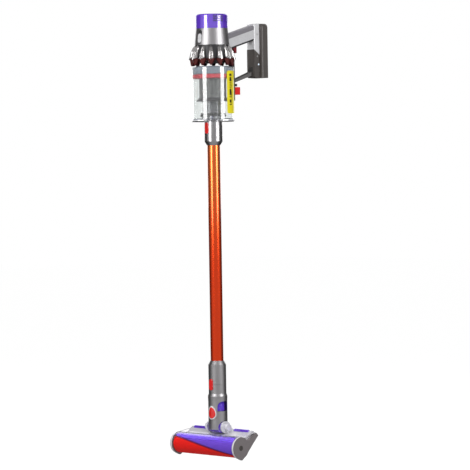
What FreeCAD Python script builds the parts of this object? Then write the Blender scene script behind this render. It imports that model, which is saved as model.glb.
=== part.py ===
import FreeCAD, Part
import math
import os
from FreeCAD import Vector

os.makedirs("parts", exist_ok=True)

# Cordless stick vacuum, hanging upright by its battery's back face, in millimetres.
# X runs across the floor head, -Y is the head's front, +Z runs up the wand.
# It is drawn about the wand's axis and moved at the end, so that the origin is the dock face's centre.

# Fits and clearances.
gap = 0.3              # between faces of pieces that move past each other
run_fit = 0.05         # radial, a pin in its hole
slide_fit = 0.3        # radial, a spigot in its socket
wall = 2.4             # moulded covers

# Heights up the wand's axis, each a length of its own.
pitch_z = 89.0         # the floor head's pitch axis
lean_rise = 37.0       # pitch axis to lean axis
cuff_rise = 81.0       # lean axis to the cuff's top seam
wand_length = 708.5    # cuff seam to the top of the wand's upper collar
stub_length = 10.7     # bare part of the inlet stub
bin_height = 148.5
cyclone_height = 61.0
motor_height = 45.0
cap_height = 39.0

lean_z = pitch_z + lean_rise
cuff_top = lean_z + cuff_rise
wand_bottom = cuff_top + gap
wand_top = wand_bottom + wand_length
flap_bottom = wand_top + stub_length
bin_top = flap_bottom + bin_height
motor_bottom = bin_top + cyclone_height
cap_bottom = motor_bottom + motor_height
cap_top = cap_bottom + cap_height

# Motor housing and filter cap.
housing_low_radius = 48.0
housing_high_radius = 43.3
cap_radius = 44.0
cap_edge = 5.0
cap_wall = 2.8
vent_count = 4
vent_pitch = 4.6
vent_height = 2.0
vent_depth = 1.3
vent_span = 76.0       # degrees, on each side
filter_thickness = 5.0

# Power slider on the front of the motor housing.
track_width = 14.0
track_low = 3.5
knob_width = 12.0
knob_height = 25.0
knob_travel = 8.0
knob_room = 2.0        # above and below the knob's travel
track_height = knob_height + knob_travel + 2 * knob_room
slider_plate = 0.5

# Motor.
bucket_radius = 33.2
bucket_wall = 2.2
stator_radius = 27.0
stator_bore = 9.6
stator_height = 26.0
rotor_radius = 9.0
shaft_radius = 2.5
impeller_radius = 22.0
blade_count = 9
board_thickness = 1.6

# Cyclone ring.
cyclone_count = 14
cyclone_phase = 4.0    # degrees from +X to the first cyclone
rail_place = 3         # the place left open for the rail's arm
cyclone_core_radius = 42.0
core_flare = 8.0
core_rim = 8.0
petal_top_radius = 45.0
petal_low_radius = 56.5
petal_top_size = 4.0
petal_low_size = 10.3
petal_rise = 17.0      # bin's top to the petals' widest place
petal_height = 41.0
cone_tip_size = 3.0

# Bin and what hangs in it.
bin_radius = 58.0
bin_wall_thickness = 2.3
rim_height = 3.2
collar_height = 18.5
seal_gap = 1.2
seal_height = 11.0
mesh_radius = 37.0
mesh_wall = 1.5
mesh_height = 52.0
skirt_radius = 46.0
skirt_height = 10.0
duct_radius = 29.0
air_radius = 16.2      # the bore of the whole air path
base_seal_height = 8.0
flap_thickness = 5.0
funnel_radius = 34.0
funnel_height = 9.0
hinge_reach = 4.5      # flap hinge axis beyond the bin's wall
knuckle_radius = 4.0
knuckle_half = 7.7
flap_pin_radius = 2.0

# Rail, bin lever and handle.
rail_half = 8.0
web_half = 5.0
rail_reach = 11.5      # bin's wall to the rail's front face
rail_depth = 9.5
rail_length = 127.0
lever_reach = 22.0
lever_height = 21.0
lever_half = 7.0
lever_travel = 8.0
grip_half = 14.0
grip_height = 41.0
grip_slope = 16.0      # degrees, rising away from the body
liner_height = 5.0
pad_height = 12.0
column_front = 148.5
column_half = 14.5
column_depth = 20.0
column_top = cap_top - 21.0
battery_half = 23.5
battery_depth = 24.0
battery_length = 151.0
battery_wall = 2.0
cell_radius = 9.2
cell_length = 65.0
strut_half = 7.5
strut_height = 7.5
trigger_half = 7.0
trigger_front = 61.0
trigger_length = 27.0
trigger_travel = 5.0
socket_radius = 3.2
socket_depth = 9.0

# Wand.
tube_radius = 17.5
tube_wall = 1.3
spigot_radius = 19.5
spigot_length = 36.0
top_collar_radius = 25.0
top_collar_height = 43.0
bottom_collar_radius = 24.25
bottom_collar_height = 53.0
collar_taper = 10.8
button_half = 6.5
button_height = 31.0
button_proud = 2.0
button_travel = 2.5

# Cuff, lower neck and their pivots.
cuff_shoulder = 26.8
neck_radius = 26.2
cuff_skirt_rise = 34.0     # lean axis to the cuff's lower edge
shoulder_rise = 48.0
tongue_inner = 19.0
tongue_half = 18.5
arch_corner = 12.0
neck_top_rise = 7.0
neck_bore = 15.0
neck_round = 26.6          # bottom of the lower neck, about the pitch axis
hose_radius = 18.4
hose_rib = 1.4
pin_radius = 3.0
barrel_radius = 18.0
barrel_half = 25.5
boss_radius = 9.0
yoke_radius = 16.5
yoke_thickness = 5.0
boss_inner = 26.6
boss_outer = 43.8

# Floor head, drawn flat: Y is the distance behind the roller's axis, Z the height above the floor.
head_width = 250.0
head_tilt = 45.5           # degrees toe-down as it hangs
pivot_back = 59.3
pivot_height = 35.4
roller_radius = 27.2
roller_height = 27.0
roller_gap = 1.8
core_radius = 22.0
core_wall = 2.0
head_back = 68.0
tail_height = 21.0
saddle_height = 24.0
cap_thickness = 6.8
cap_disc = 29.6
cap_tail = 13.0
cap_toe = 22.0
sole_thickness = 3.0
window_thickness = 2.0
window_front = 99.0        # degrees up from the back, about the roller's axis
window_back = 45.0
wheel_radius = 5.0
wheel_width = 12.0
wheel_place = 68.0
wheel_axle = 1.5
lock_radius = 7.0
lock_thickness = 2.0
spigot_axle = 4.0
head_motor_radius = 17.0

bin_bottom = flap_bottom + flap_thickness + gap
collar_low = bin_top - collar_height
seal_low = collar_low - seal_gap - seal_height
mesh_low = seal_low - mesh_height
duct_low = flap_bottom + flap_thickness + funnel_height + gap
hinge_y = bin_radius + hinge_reach
rail_front = bin_radius + rail_reach
rail_back = rail_front + rail_depth
hinge_z = flap_bottom + flap_thickness
battery_top = column_top
battery_low = battery_top - battery_length
battery_front = column_front + column_depth
battery_back = battery_front + battery_depth
dock_z = battery_top - battery_length / 2
head_half = head_width / 2
inner_half = head_half - cap_thickness

nodes = {}


def block(x0, x1, y0, y1, z0, z1):
    return Part.makeBox(x1 - x0, y1 - y0, z1 - z0, Vector(x0, y0, z0))


def rod(radius, low, high, x=0.0, y=0.0):
    return Part.makeCylinder(radius, high - low, Vector(x, y, low), Vector(0, 0, 1))


def tube(outer, inner, low, high):
    return rod(outer, low, high).cut(rod(inner, low - 1, high + 1))


def cross_rod(radius, left, right, y, z):
    return Part.makeCylinder(radius, right - left, Vector(left, y, z), Vector(1, 0, 0))


def fore_rod(radius, front, back, x, z):
    return Part.makeCylinder(radius, back - front, Vector(x, front, z), Vector(0, 1, 0))


def turned(profile):
    # A closed outline of (radius, height) points turned about the wand's axis.
    points = [Vector(radius, 0, height) for radius, height in profile]
    face = Part.Face(Part.makePolygon(points + points[:1]))
    return face.revolve(Vector(0, 0, 0), Vector(0, 0, 1), 360)


def rounded_face(corners, place):
    # A closed outline of (a, b, corner radius); place turns (a, b) into a point in space.
    bends = []
    count = len(corners)
    for i, (a, b, radius) in enumerate(corners):
        here = Vector(a, b, 0)
        back = (Vector(*corners[i - 1][:2], 0) - here).normalize()
        ahead = (Vector(*corners[(i + 1) % count][:2], 0) - here).normalize()
        if radius == 0:
            bends.append((here, None, here))
            continue
        half = back.getAngle(ahead) / 2
        reach = radius / math.tan(half)
        inward = (back + ahead).normalize()
        middle = here + inward * (radius / math.sin(half) - radius)
        bends.append((here + back * reach, middle, here + ahead * reach))
    edges = []
    for i, (start, middle, end) in enumerate(bends):
        if middle is not None:
            edges.append(Part.Arc(place(start), place(middle), place(end)).toShape())
        following = bends[(i + 1) % count][0]
        if (following - end).Length > 1e-6:
            edges.append(Part.LineSegment(place(end), place(following)).toShape())
    return Part.Face(Part.Wire(edges))


def side_slab(corners, left, right):
    # A side outline of (y, z, corner radius) given the width from left to right.
    face = rounded_face(corners, lambda p: Vector(left, p.x, p.y))
    return face.extrude(Vector(right - left, 0, 0))


def front_slab(corners, front, back):
    # A front outline of (x, z, corner radius) given the depth from front to back.
    face = rounded_face(corners, lambda p: Vector(p.x, front, p.y))
    return face.extrude(Vector(0, back - front, 0))


def capsule(half, low, high, front, back):
    corners = [(-half, low, half * 0.98), (half, low, half * 0.98),
               (half, high, half * 0.98), (-half, high, half * 0.98)]
    return front_slab(corners, front, back)


def soften(shape, radius, test):
    # Rounds the edges whose middle point passes the test.
    edges = [e for e in shape.Edges if test(e.CenterOfMass, e)]
    return shape.makeFillet(radius, edges)


def join(first, *others):
    shape = first.fuse(list(others))
    return shape.removeSplitter()


def around(shape, degrees):
    turned_copy = shape.copy()
    turned_copy.rotate(Vector(0, 0, 0), Vector(0, 0, 1), degrees)
    return turned_copy


def mirrored(shape, normal):
    return shape.mirror(Vector(0, 0, 0), normal)


def housing_radius(z):
    share = (z - motor_bottom) / motor_height
    return housing_low_radius + (housing_high_radius - housing_low_radius) * share


# ---------------------------------------------------------------- motor, filter and power slider

def slanted(shape, z):
    # Leans a piece drawn upright on the housing's front by the housing's own taper.
    lean = math.degrees(math.atan2(housing_low_radius - housing_high_radius, motor_height))
    shape.rotate(Vector(0, -housing_radius(z), z), Vector(1, 0, 0), -lean)
    return shape


def slider_parts():
    low = motor_bottom + track_low
    middle = low + track_height / 2
    face = -housing_radius(middle)
    recess = slanted(capsule(track_width / 2, low, low + track_height, face - 6, face + 1.5), middle)
    plate = capsule(track_width / 2, low, low + track_height, face + 1.5 - slider_plate, face + 1.5)
    plate = slanted(plate, middle)
    knob_low = low + knob_room
    knob = capsule(knob_width / 2, knob_low, knob_low + knob_height, face - 1.5, face + 0.8)
    ridges = [block(-3.5, 3.5, face - 2.1, face - 1.4, z - 0.5, z + 0.5)
              for z in (knob_low + knob_height / 2 + step for step in (-4, 0, 4))]
    knob = slanted(join(knob, *ridges), middle)
    return recess, plate, knob


def build_motor_housing(recess):
    outer = [(housing_low_radius, motor_bottom), (housing_high_radius, cap_bottom)]
    inner = [(housing_high_radius - wall, cap_bottom), (housing_low_radius - wall, motor_bottom)]
    shell = turned(outer + inner)
    return shell.cut(recess)


def build_filter():
    cap = rod(cap_radius, cap_bottom + gap, cap_top)
    cap = soften(cap, cap_edge, lambda c, e: abs(c.z - cap_top) < 0.01 and e.Length > 10)
    cap = cap.cut(rod(cap_radius - cap_wall, cap_bottom, cap_top - cap_wall))
    skirt_out = housing_high_radius - wall - slide_fit
    skirt = tube(skirt_out, skirt_out - 2, cap_bottom - 8, cap_bottom + gap + 0.5)
    bridge = tube(cap_radius - cap_wall + 0.2, skirt_out - 2, cap_bottom + gap, cap_bottom + gap + 3)
    cap = join(cap, skirt, bridge)
    for i in range(vent_count):
        low = cap_top - cap_edge - 2 - i * vent_pitch
        for start in (-vent_span / 2, 180 - vent_span / 2):
            sector = Part.makeCylinder(cap_radius + 1, vent_height, Vector(0, 0, low - vent_height),
                                       Vector(0, 0, 1), vent_span)
            sector = sector.cut(rod(cap_radius - vent_depth, low - vent_height - 1, low + 1))
            cap = cap.cut(around(sector, start))
    filter_outer = skirt_out - 2.1
    element = tube(filter_outer, filter_outer - filter_thickness + 1, motor_bottom + 14, cap_top - cap_wall)
    nodes["filter_cap"] = cap
    nodes["filter_element"] = element


def build_motor():
    low = bin_top + 12
    high = cap_bottom - 14
    inner = bucket_radius - bucket_wall
    bucket = tube(bucket_radius, inner, low, high)
    floor = tube(inner + 0.5, 6, low, low + 2)
    flange_z = motor_bottom + 1
    flange = tube(housing_radius(flange_z + 3) - wall, bucket_radius - 0.5, flange_z, flange_z + 3)
    nodes["motor_bucket"] = join(bucket, floor, flange)
    stator_low = low + 24
    stator = tube(stator_radius, stator_bore, stator_low, stator_low + stator_height)
    plates = [tube(stator_radius, shaft_radius + run_fit, z, z + 3)
              for z in (stator_low - 6, stator_low + stator_height + 3)]
    can = tube(stator_radius, stator_radius - 1.5, stator_low - 6, stator_low + stator_height + 6)
    nodes["motor_stator"] = join(can, stator, *plates)
    nodes["motor_mounts"] = Part.makeCompound([
        tube(inner, stator_radius, stator_low - 4, stator_low + 2),
        tube(inner, stator_radius, stator_low + stator_height - 2, stator_low + stator_height + 4)])
    shaft = rod(shaft_radius, stator_low - 10, high - 1)
    magnet = rod(rotor_radius, stator_low + 1, stator_low + stator_height - 1)
    fan_low = stator_low + stator_height + 8
    hub = turned([(0, fan_low), (impeller_radius, fan_low), (impeller_radius, fan_low + 1.5),
                  (6, fan_low + 8), (0, fan_low + 8)])
    blades = []
    for i in range(blade_count):
        blade = block(7, impeller_radius - 0.5, -0.5, 0.5, fan_low + 1, fan_low + 7)
        blades.append(around(blade, i * 360 / blade_count))
    nodes["motor_rotor"] = join(shaft, magnet, hub, *blades)
    board_z = motor_bottom + 7
    outer = housing_radius(board_z + board_thickness) - wall - 0.6
    board = Part.makeCylinder(outer, board_thickness, Vector(0, 0, board_z), Vector(0, 0, 1), 200)
    nodes["main_board"] = board.cut(rod(bucket_radius + 0.2, board_z - 1, board_z + 3))


# ---------------------------------------------------------------- cyclones and the bin's inner parts

def circle_wire(radius, x, z):
    return Part.Wire(Part.makeCircle(radius, Vector(x, 0, z), Vector(0, 0, 1)))


def core_radius_at(z):
    # The cover's core narrows from its widest place towards the motor.
    share = (z - bin_top - petal_rise) / (petal_height - core_rim)
    return cyclone_core_radius + core_flare * (1 - share)


def build_cyclones():
    widest = bin_top + petal_rise
    top = widest + petal_height
    core = turned([(bucket_radius + 0.3, bin_top + 3), (cyclone_core_radius + 6, bin_top + 3),
                   (cyclone_core_radius + core_flare, widest), (cyclone_core_radius, top - core_rim),
                   (cyclone_core_radius, motor_bottom), (bucket_radius + 0.3, motor_bottom)])
    lip = tube(housing_low_radius, cyclone_core_radius - 0.5, motor_bottom - 4, motor_bottom)
    petal = Part.makeLoft([circle_wire(petal_low_size, petal_low_radius, widest),
                           circle_wire(petal_low_size * 0.86, petal_low_radius - 3.0, widest + 16),
                           circle_wire(petal_top_size, petal_top_radius - 1, top)], True)
    skirt = Part.makeCone(6.4, petal_low_size, 8, Vector(petal_low_radius, 0, widest - 8), Vector(0, 0, 1))
    cone = Part.makeCone(cone_tip_size, 6.2, petal_rise - 10.5, Vector(petal_low_radius - 1, 0, bin_top + 2),
                         Vector(0, 0, 1))
    angles = [cyclone_phase + i * 360 / cyclone_count for i in range(cyclone_count) if i != rail_place]
    petals = [around(shape, angle) for angle in angles for shape in (petal, skirt)]
    cones = [around(cone, angle) for angle in angles]
    ring = tube(petal_low_radius + 1, cyclone_core_radius + 6.3, bin_top + 2.6, bin_top + 5.2)
    cover = join(core, lip, *petals)
    nodes["cyclone_cover"] = cover
    nodes["cyclone_cones"] = join(ring, *cones).cut(cover)


def build_bin_inside():
    inner = bin_radius - bin_wall_thickness
    nodes["cyclone_base"] = join(
        tube(inner - 0.5, mesh_radius - 8, collar_low, bin_top),
        tube(cyclone_core_radius + 5, mesh_radius - 8, bin_top - 1, bin_top + 2.6))
    seal_high = seal_low + seal_height
    nodes["bin_seal"] = turned([(mesh_radius - 8, collar_low), (inner - 3, collar_low),
                                (inner - 3, seal_high), (inner - 0.4, seal_high - 0.5),
                                (inner - 0.4, seal_low + 2), (inner - 3, seal_low),
                                (mesh_radius - 8, seal_low)])
    mesh = tube(mesh_radius, mesh_radius - mesh_wall, mesh_low, seal_low)
    bars = [around(block(mesh_radius - 0.5, mesh_radius + 0.6, -1, 1, mesh_low, seal_low), i * 60)
            for i in range(6)]
    nodes["shroud_mesh"] = join(mesh, *bars)
    duct_high = mesh_low - skirt_height
    nodes["shroud_skirt"] = turned([(air_radius + 2, mesh_low), (mesh_radius + 1, mesh_low),
                                    (skirt_radius, duct_high), (air_radius + 2, duct_high)])
    nodes["inlet_duct"] = join(
        tube(duct_radius, air_radius + 2, duct_low + base_seal_height, duct_high),
        tube(funnel_radius, air_radius + 2, duct_low, duct_low + base_seal_height))


def build_bin():
    inner = bin_radius - bin_wall_thickness
    bin_low = bin_bottom + rim_height
    nodes["bin_wall"] = tube(bin_radius, inner, bin_low, bin_top)
    rim = tube(bin_radius + 0.2, inner, bin_bottom, bin_low)
    knuckles = []
    for side in (-1, 1):
        near = side * (knuckle_half + gap)
        far = side * (knuckle_half * 2 + gap)
        left, right = min(near, far), max(near, far)
        knuckles.append(cross_rod(knuckle_radius, left, right, hinge_y, hinge_z))
        knuckles.append(block(left, right, inner + 0.2, hinge_y, bin_bottom, bin_low))
    rim = join(rim, *knuckles)
    rim = rim.cut(rod(inner, bin_bottom - 5, bin_low + 5))
    nodes["bin_rim"] = rim.cut(cross_rod(flap_pin_radius, -50, 50, hinge_y, hinge_z))
    pin_end = knuckle_half * 2 + gap + 1
    nodes["flap_pin"] = cross_rod(flap_pin_radius, -pin_end, pin_end, hinge_y, hinge_z)


def build_bin_base():
    inner = bin_radius - bin_wall_thickness
    disc_top = flap_bottom + flap_thickness
    disc = tube(bin_radius, air_radius + 2, flap_bottom, disc_top)
    # The knuckles on the rim turn beside the disc, so it is cut back around them.
    relief = knuckle_radius + 1
    disc = disc.cut(cross_rod(relief, -50, 50, hinge_y, hinge_z))
    arm = block(-knuckle_half, knuckle_half, inner - 4, hinge_y, flap_bottom, hinge_z)
    knuckle = cross_rod(knuckle_radius, -knuckle_half, knuckle_half, hinge_y, hinge_z)
    funnel = turned([(air_radius + 2, disc_top - 0.5), (top_collar_radius - 1, disc_top - 0.5),
                     (funnel_radius, disc_top + funnel_height), (air_radius + 2, disc_top + funnel_height)])
    flap = join(disc, arm, knuckle, funnel)
    nodes["bin_flap"] = flap.cut(cross_rod(flap_pin_radius + run_fit, -50, 50, hinge_y, hinge_z))
    nodes["flap_seal"] = tube(inner - 0.8, inner - 6, disc_top, disc_top + 3.5)
    stub = turned([(air_radius, disc_top + funnel_height), (air_radius + 2, disc_top + funnel_height),
                   (air_radius + 2, flap_bottom), (top_collar_radius - 0.4, flap_bottom),
                   (top_collar_radius - 0.4, wand_top + gap), (spigot_radius, wand_top + gap),
                   (spigot_radius, wand_top - spigot_length), (air_radius, wand_top - spigot_length)])
    nodes["inlet_stub"] = stub.cut(button_pocket(wand_top, top_collar_radius))


# ---------------------------------------------------------------- wand, cuff and quick-release buttons

def button_pocket(seam, radius):
    # The space a quick-release button needs, across the seam at this height.
    low = seam - button_height * 0.72
    high = low + button_height
    return capsule(button_half + gap, low - gap, high + gap, -radius - 6, -radius + button_travel + 1.3)


def release_button(seam, radius):
    low = seam - button_height * 0.72
    pad = capsule(button_half, low, low + button_height, -radius - button_proud, -radius + 1)
    return soften(pad, 0.9, lambda c, e: abs(c.y + radius + button_proud) < 0.01)


def build_wand():
    top = [(top_collar_radius, wand_top), (top_collar_radius, wand_top - top_collar_height),
           (tube_radius + 0.7, wand_top - top_collar_height - collar_taper)]
    seat = wand_top - spigot_length - 1
    bore = [(tube_radius, wand_top - top_collar_height - collar_taper), (tube_radius, seat),
            (spigot_radius + slide_fit, seat), (spigot_radius + slide_fit, wand_top)]
    nodes["wand_collar_top"] = turned(top + bore).cut(button_pocket(wand_top, top_collar_radius))
    collar_high = wand_bottom + bottom_collar_height
    tube_low = wand_bottom + 32
    nodes["wand_tube"] = tube(tube_radius, tube_radius - tube_wall, tube_low, seat)
    taper_high = collar_high + collar_taper
    lower = turned([(spigot_radius, wand_bottom - spigot_length + 2), (spigot_radius, wand_bottom),
                    (bottom_collar_radius, wand_bottom), (bottom_collar_radius, collar_high),
                    (tube_radius + 0.7, taper_high), (tube_radius, taper_high),
                    (tube_radius, tube_low), (air_radius, tube_low),
                    (air_radius, wand_bottom - spigot_length + 2)])
    nodes["wand_collar_bottom"] = lower.cut(button_pocket(cuff_top + 6, bottom_collar_radius))
    inner = tube_radius - tube_wall
    nodes["wand_cable"] = block(-2, 2, inner - 2.4, inner - 0.6, tube_low + 4, seat - 4)
    nodes["wand_button"] = release_button(wand_top, top_collar_radius)


def build_cuff():
    bore = spigot_radius + slide_fit
    seat = wand_bottom - spigot_length + 1
    low = lean_z + cuff_skirt_rise
    foot = low - arch_corner - 2
    socket = tongue_inner + 1.5
    shell = turned([(bottom_collar_radius, cuff_top), (bottom_collar_radius, lean_z + shoulder_rise + 7),
                    (cuff_shoulder, lean_z + shoulder_rise), (neck_radius, low), (neck_radius, foot),
                    (socket, foot), (socket, seat), (bore, seat), (bore, cuff_top)])
    # The side openings end in an arch, between the front and back tongues.
    side = math.sqrt(neck_radius ** 2 - tongue_half ** 2)
    shell = shell.cut(side_slab([(-side, foot - 5, 0), (side, foot - 5, 0), (side, low, arch_corner),
                                 (-side, low, arch_corner)], -60, 60))
    half = tongue_half
    outline = [(-half, lean_z - half, half * 0.98), (half, lean_z - half, half * 0.98),
               (half, low + 4, 0), (-half, low + 4, 0)]
    tongue = front_slab(outline, -neck_radius - 1, -tongue_inner)
    tongue = tongue.common(rod(neck_radius, lean_z - 30, low + 4))
    back = mirrored(tongue, Vector(0, 1, 0))
    cuff = join(shell, tongue, back)
    cap = pivot_cap()
    pins = [fore_rod(pin_radius, -neck_radius + 2, -neck_bore - 0.3, 0, lean_z)]
    pins.append(mirrored(pins[0], Vector(0, 1, 0)))
    for pin in pins:
        cuff = cuff.cut(pin)
    nodes["head_cuff"] = cuff.cut(cap).cut(button_pocket(cuff_top + 6, bottom_collar_radius))
    nodes["pivot_cap"] = cap
    nodes["lean_pins"] = Part.makeCompound(pins)
    nodes["head_button"] = release_button(cuff_top + 6, bottom_collar_radius)


def pivot_cap():
    # A teardrop with its point up, over the lean axis.
    outline = [(-7.2, lean_z - 9, 6.3), (7.2, lean_z - 9, 6.3), (7.2, lean_z + 1, 3.5),
               (0, lean_z + 15, 1.3), (-7.2, lean_z + 1, 3.5)]
    cap = front_slab(outline, -neck_radius - 1.3, -neck_radius + 1.8)
    return soften(cap, 0.7, lambda c, e: abs(c.y + neck_radius + 1.3) < 0.01)


def build_lower_neck():
    top = lean_z + neck_top_rise
    neck = rod(neck_radius, pitch_z - 6, top)
    bottom = cross_rod(neck_round, -60, 60, 0, pitch_z)
    upper = block(-60, 60, -60, 60, pitch_z, top + 1)
    neck = neck.common(join(bottom, upper))
    pocket = tongue_inner - gap
    clearance = tongue_half + gap * 2
    for front, back in ((-60, -pocket), (pocket, 60)):
        neck = neck.cut(fore_rod(clearance, front, back, 0, lean_z))
        neck = neck.cut(block(-60, 60, front, back, lean_z, top + 5))
    neck = neck.cut(rod(neck_bore, pitch_z, top + 1))
    neck = neck.cut(cross_rod(barrel_radius, -60, 60, 0, pitch_z))
    nodes["lower_neck"] = neck.cut(fore_rod(pin_radius + run_fit, -60, 60, 0, lean_z))
    ribs = 6
    hose_high = lean_z + cuff_skirt_rise + 10
    pitch = (hose_high - top) / ribs
    outline = [(neck_bore - 0.8, hose_high), (neck_bore - 0.8, top)]
    for i in range(ribs):
        low = top + i * pitch
        outline += [(hose_radius - hose_rib, low), (hose_radius, low + pitch * 0.3),
                    (hose_radius, low + pitch * 0.7)]
    outline.append((hose_radius - hose_rib, hose_high))
    nodes["neck_hose"] = turned(outline)
    barrel = cross_rod(barrel_radius, -barrel_half, barrel_half, 0, pitch_z)
    barrel = barrel.cut(cross_rod(barrel_radius - 2.5, -barrel_half + 3.5, barrel_half - 3.5, 0, pitch_z))
    barrel = barrel.cut(rod(neck_bore - 2, pitch_z, pitch_z + 30))
    mouth = block(-17, 17, -30, 0, pitch_z - 8, pitch_z + 4)
    mouth.rotate(Vector(0, 0, pitch_z), Vector(1, 0, 0), head_tilt)
    barrel = barrel.cut(mouth)
    nodes["pitch_barrel"] = barrel.cut(cross_rod(pin_radius + run_fit, -60, 60, 0, pitch_z))


# ---------------------------------------------------------------- rail, lever and handle

def rail_web():
    # The arm that carries the rail, in the ring's open place.
    low = bin_top + petal_rise + 8
    return block(-web_half, web_half, core_radius_at(low) + run_fit, rail_front + 1, low, low + 12)


def build_rail():
    top = rail_web().BoundBox.ZMax
    low = top - rail_length
    rail = block(-rail_half, rail_half, rail_front, rail_back, low, top)
    rail = soften(rail, 2.5, lambda c, e: abs(c.y - rail_back) < 0.01 and abs(c.z - low) > 1)
    lever_low = low + 16
    groove = block(-3 - gap, 3 + gap, rail_back - 4, rail_back + 1,
                   lever_low - lever_travel - 1, lever_low + lever_height + 1)
    guard = block(-lever_half, lever_half, rail_back - 1, rail_back + 8,
                  lever_low + lever_height + 2, lever_low + lever_height + 9)
    nodes["bin_rail"] = join(rail, guard, rail_web()).cut(groove)
    key = block(-lever_half, lever_half, rail_back + gap, rail_back + lever_reach,
                lever_low, lever_low + lever_height)
    key = soften(key, 4, lambda c, e: abs(c.y - rail_back - lever_reach) < 0.01)
    tongue = block(-3, 3, rail_back - 3.5, rail_back + 1, lever_low + 3, lever_low + lever_height - 3)
    nodes["bin_lever"] = join(key, tongue)


def grip_line(y, rise):
    # Height of a line along the grip, this far above its underside.
    slope = math.radians(grip_slope)
    top_at_column = column_top - 5
    return top_at_column + (y - column_front) * math.tan(slope) - (grip_height - rise) / math.cos(slope)


def grip_layer(low, high, half):
    root = housing_high_radius - 12
    end = column_front
    corners = [(root, grip_line(root, low), 0), (end, grip_line(end, low), 0),
               (end, grip_line(end, high), 0), (root, grip_line(root, high), 0)]
    return side_slab(corners, -half, half)


def build_grip():
    widest = bin_top + petal_rise
    reach = petal_low_radius + petal_low_size
    solid_body = turned([(0, motor_bottom - 60), (reach + gap, motor_bottom - 60), (reach + gap, widest),
                         (reach - 3, widest + 16), (reach - 10, widest + 30),
                         (housing_low_radius + 0.6, motor_bottom - 3), (housing_low_radius, motor_bottom),
                         (housing_high_radius, cap_bottom), (0, cap_bottom)])
    pocket = block(-trigger_half - 0.6, trigger_half + 0.6, trigger_front - 1,
                   trigger_front + trigger_length + 1, motor_bottom - 40, motor_bottom + trigger_travel + 12)
    liner = grip_layer(0, liner_height, grip_half - 1)
    liner = soften(liner, 3, lambda c, e: abs(abs(c.x) - grip_half + 1) < 0.01 and e.Length > 60
                   and c.z < grip_line(c.y, 1))
    nodes["grip_liner"] = liner.cut(solid_body).cut(pocket)
    arm = grip_layer(liner_height, grip_height - pad_height, grip_half)
    nodes["grip_arm"] = arm.cut(solid_body).cut(pocket)
    pad = grip_layer(grip_height - pad_height, grip_height, grip_half + 0.4)
    pad = soften(pad, 7, lambda c, e: abs(abs(c.x) - grip_half - 0.4) < 0.01 and e.Length > 60
                 and c.z > grip_line(c.y, grip_height - 1))
    nodes["grip_pad"] = pad.cut(solid_body)
    build_trigger()


def build_trigger():
    back = trigger_front + trigger_length
    top = motor_bottom + 3
    blade = side_slab([(trigger_front, top - 9, 1), (back - 9, top - 13, 8), (back - 4, top - 24, 1.5),
                       (back, top - 23, 1.5), (back, top, 1), (trigger_front, top, 1)],
                      -trigger_half + 0.8, trigger_half - 0.8)
    shank = block(-trigger_half, trigger_half, trigger_front + 4, back - 1, top - 2, top + 5)
    nodes["trigger"] = join(blade, shank)


def build_column_and_battery():
    seam_front = column_top - 72
    seam_back = seam_front - 14
    column = side_slab([(column_front, seam_front, 0), (battery_front, seam_back, 0),
                        (battery_front, column_top, 0), (column_front, column_top - 3, 0)],
                       -column_half, column_half)
    nodes["column_shell"] = soften(column, 3, lambda c, e: abs(c.x) < column_half + 0.01 and e.Length > 60
                                   and abs(c.y - column_front) < 0.01)
    front = side_slab([(column_front, battery_low, 5), (battery_front + 1, battery_low, 0),
                       (battery_front + 1, seam_back, 0), (battery_front, seam_back, 0),
                       (column_front, seam_front, 0)], -column_half, column_half)
    case = block(-battery_half, battery_half, battery_front, battery_back, battery_low, battery_top)
    case = soften(case, 6, lambda c, e: e.Length > 100 and c.y < battery_front + 1)
    case = soften(case, 12, lambda c, e: abs(c.z - battery_top) < 0.01 and abs(c.y - battery_front) < 0.1)
    narrow = block(-column_half + battery_wall, column_half - battery_wall,
                   column_front + battery_wall, battery_front,
                   battery_low + socket_depth + 3, seam_back - 3)
    wide = block(-battery_half + battery_wall, battery_half - battery_wall,
                 battery_front + battery_wall, battery_back - battery_wall,
                 battery_low + battery_wall, battery_top - 10)
    middle = (column_front + battery_front) / 2
    bore = rod(socket_radius, battery_low - 1, battery_low + socket_depth, 0, middle)
    seat = block(-7, 7, middle - 6, middle + 6, battery_low, battery_low + socket_depth + 2)
    nodes["battery_case"] = join(case, front).cut(narrow).cut(wide).cut(seat)
    nodes["charge_socket"] = seat.cut(bore)
    centre = (battery_front + battery_back) / 2
    cells = []
    for tier in range(2):
        low = battery_low + battery_wall + 1 + tier * (cell_length + 1)
        for side in (-1, 1):
            cells.append(rod(cell_radius, low, low + cell_length, side * (cell_radius + 0.3), centre))
    nodes["battery_cells"] = Part.makeCompound(cells)
    nodes["battery_board"] = block(-10, 10, middle, middle + board_thickness,
                                   battery_low + socket_depth + 5, seam_back - 8)


def build_strut():
    high = battery_low + 15
    slope = 0.3
    run = column_front - rail_back
    low_end = high - run * slope
    corners = [(rail_back, low_end - strut_height, 0), (column_front, high - strut_height, 0),
               (column_front, high + 16, 0), (column_front - 5, high + 2, 9), (rail_back, low_end, 0)]
    strut = side_slab(corners, -strut_half, strut_half)
    nodes["handle_strut"] = strut.cut(nodes["bin_rail"])


def build_screws():
    screws = []
    for z in (battery_low + 60, battery_top - 30):
        head = Part.makeCylinder(2.6, 1.6, Vector(column_half, battery_front - 8, z), Vector(-1, 0, 0))
        shank = Part.makeCylinder(1.2, 6, Vector(column_half, battery_front - 8, z), Vector(-1, 0, 0))
        screws.append(join(head, shank))
    for i in range(3):
        angle = 60 + i * 120
        screws.append(around(rod(1.4, motor_bottom - 8, motor_bottom + 2, bucket_radius + 5, 0), angle))
    for screw in screws:
        for name in ("column_shell", "battery_case", "cyclone_cover", "motor_bucket"):
            nodes[name] = nodes[name].cut(screw)
    nodes["housing_screws"] = Part.makeCompound(screws)


# ---------------------------------------------------------------- floor head

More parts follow.
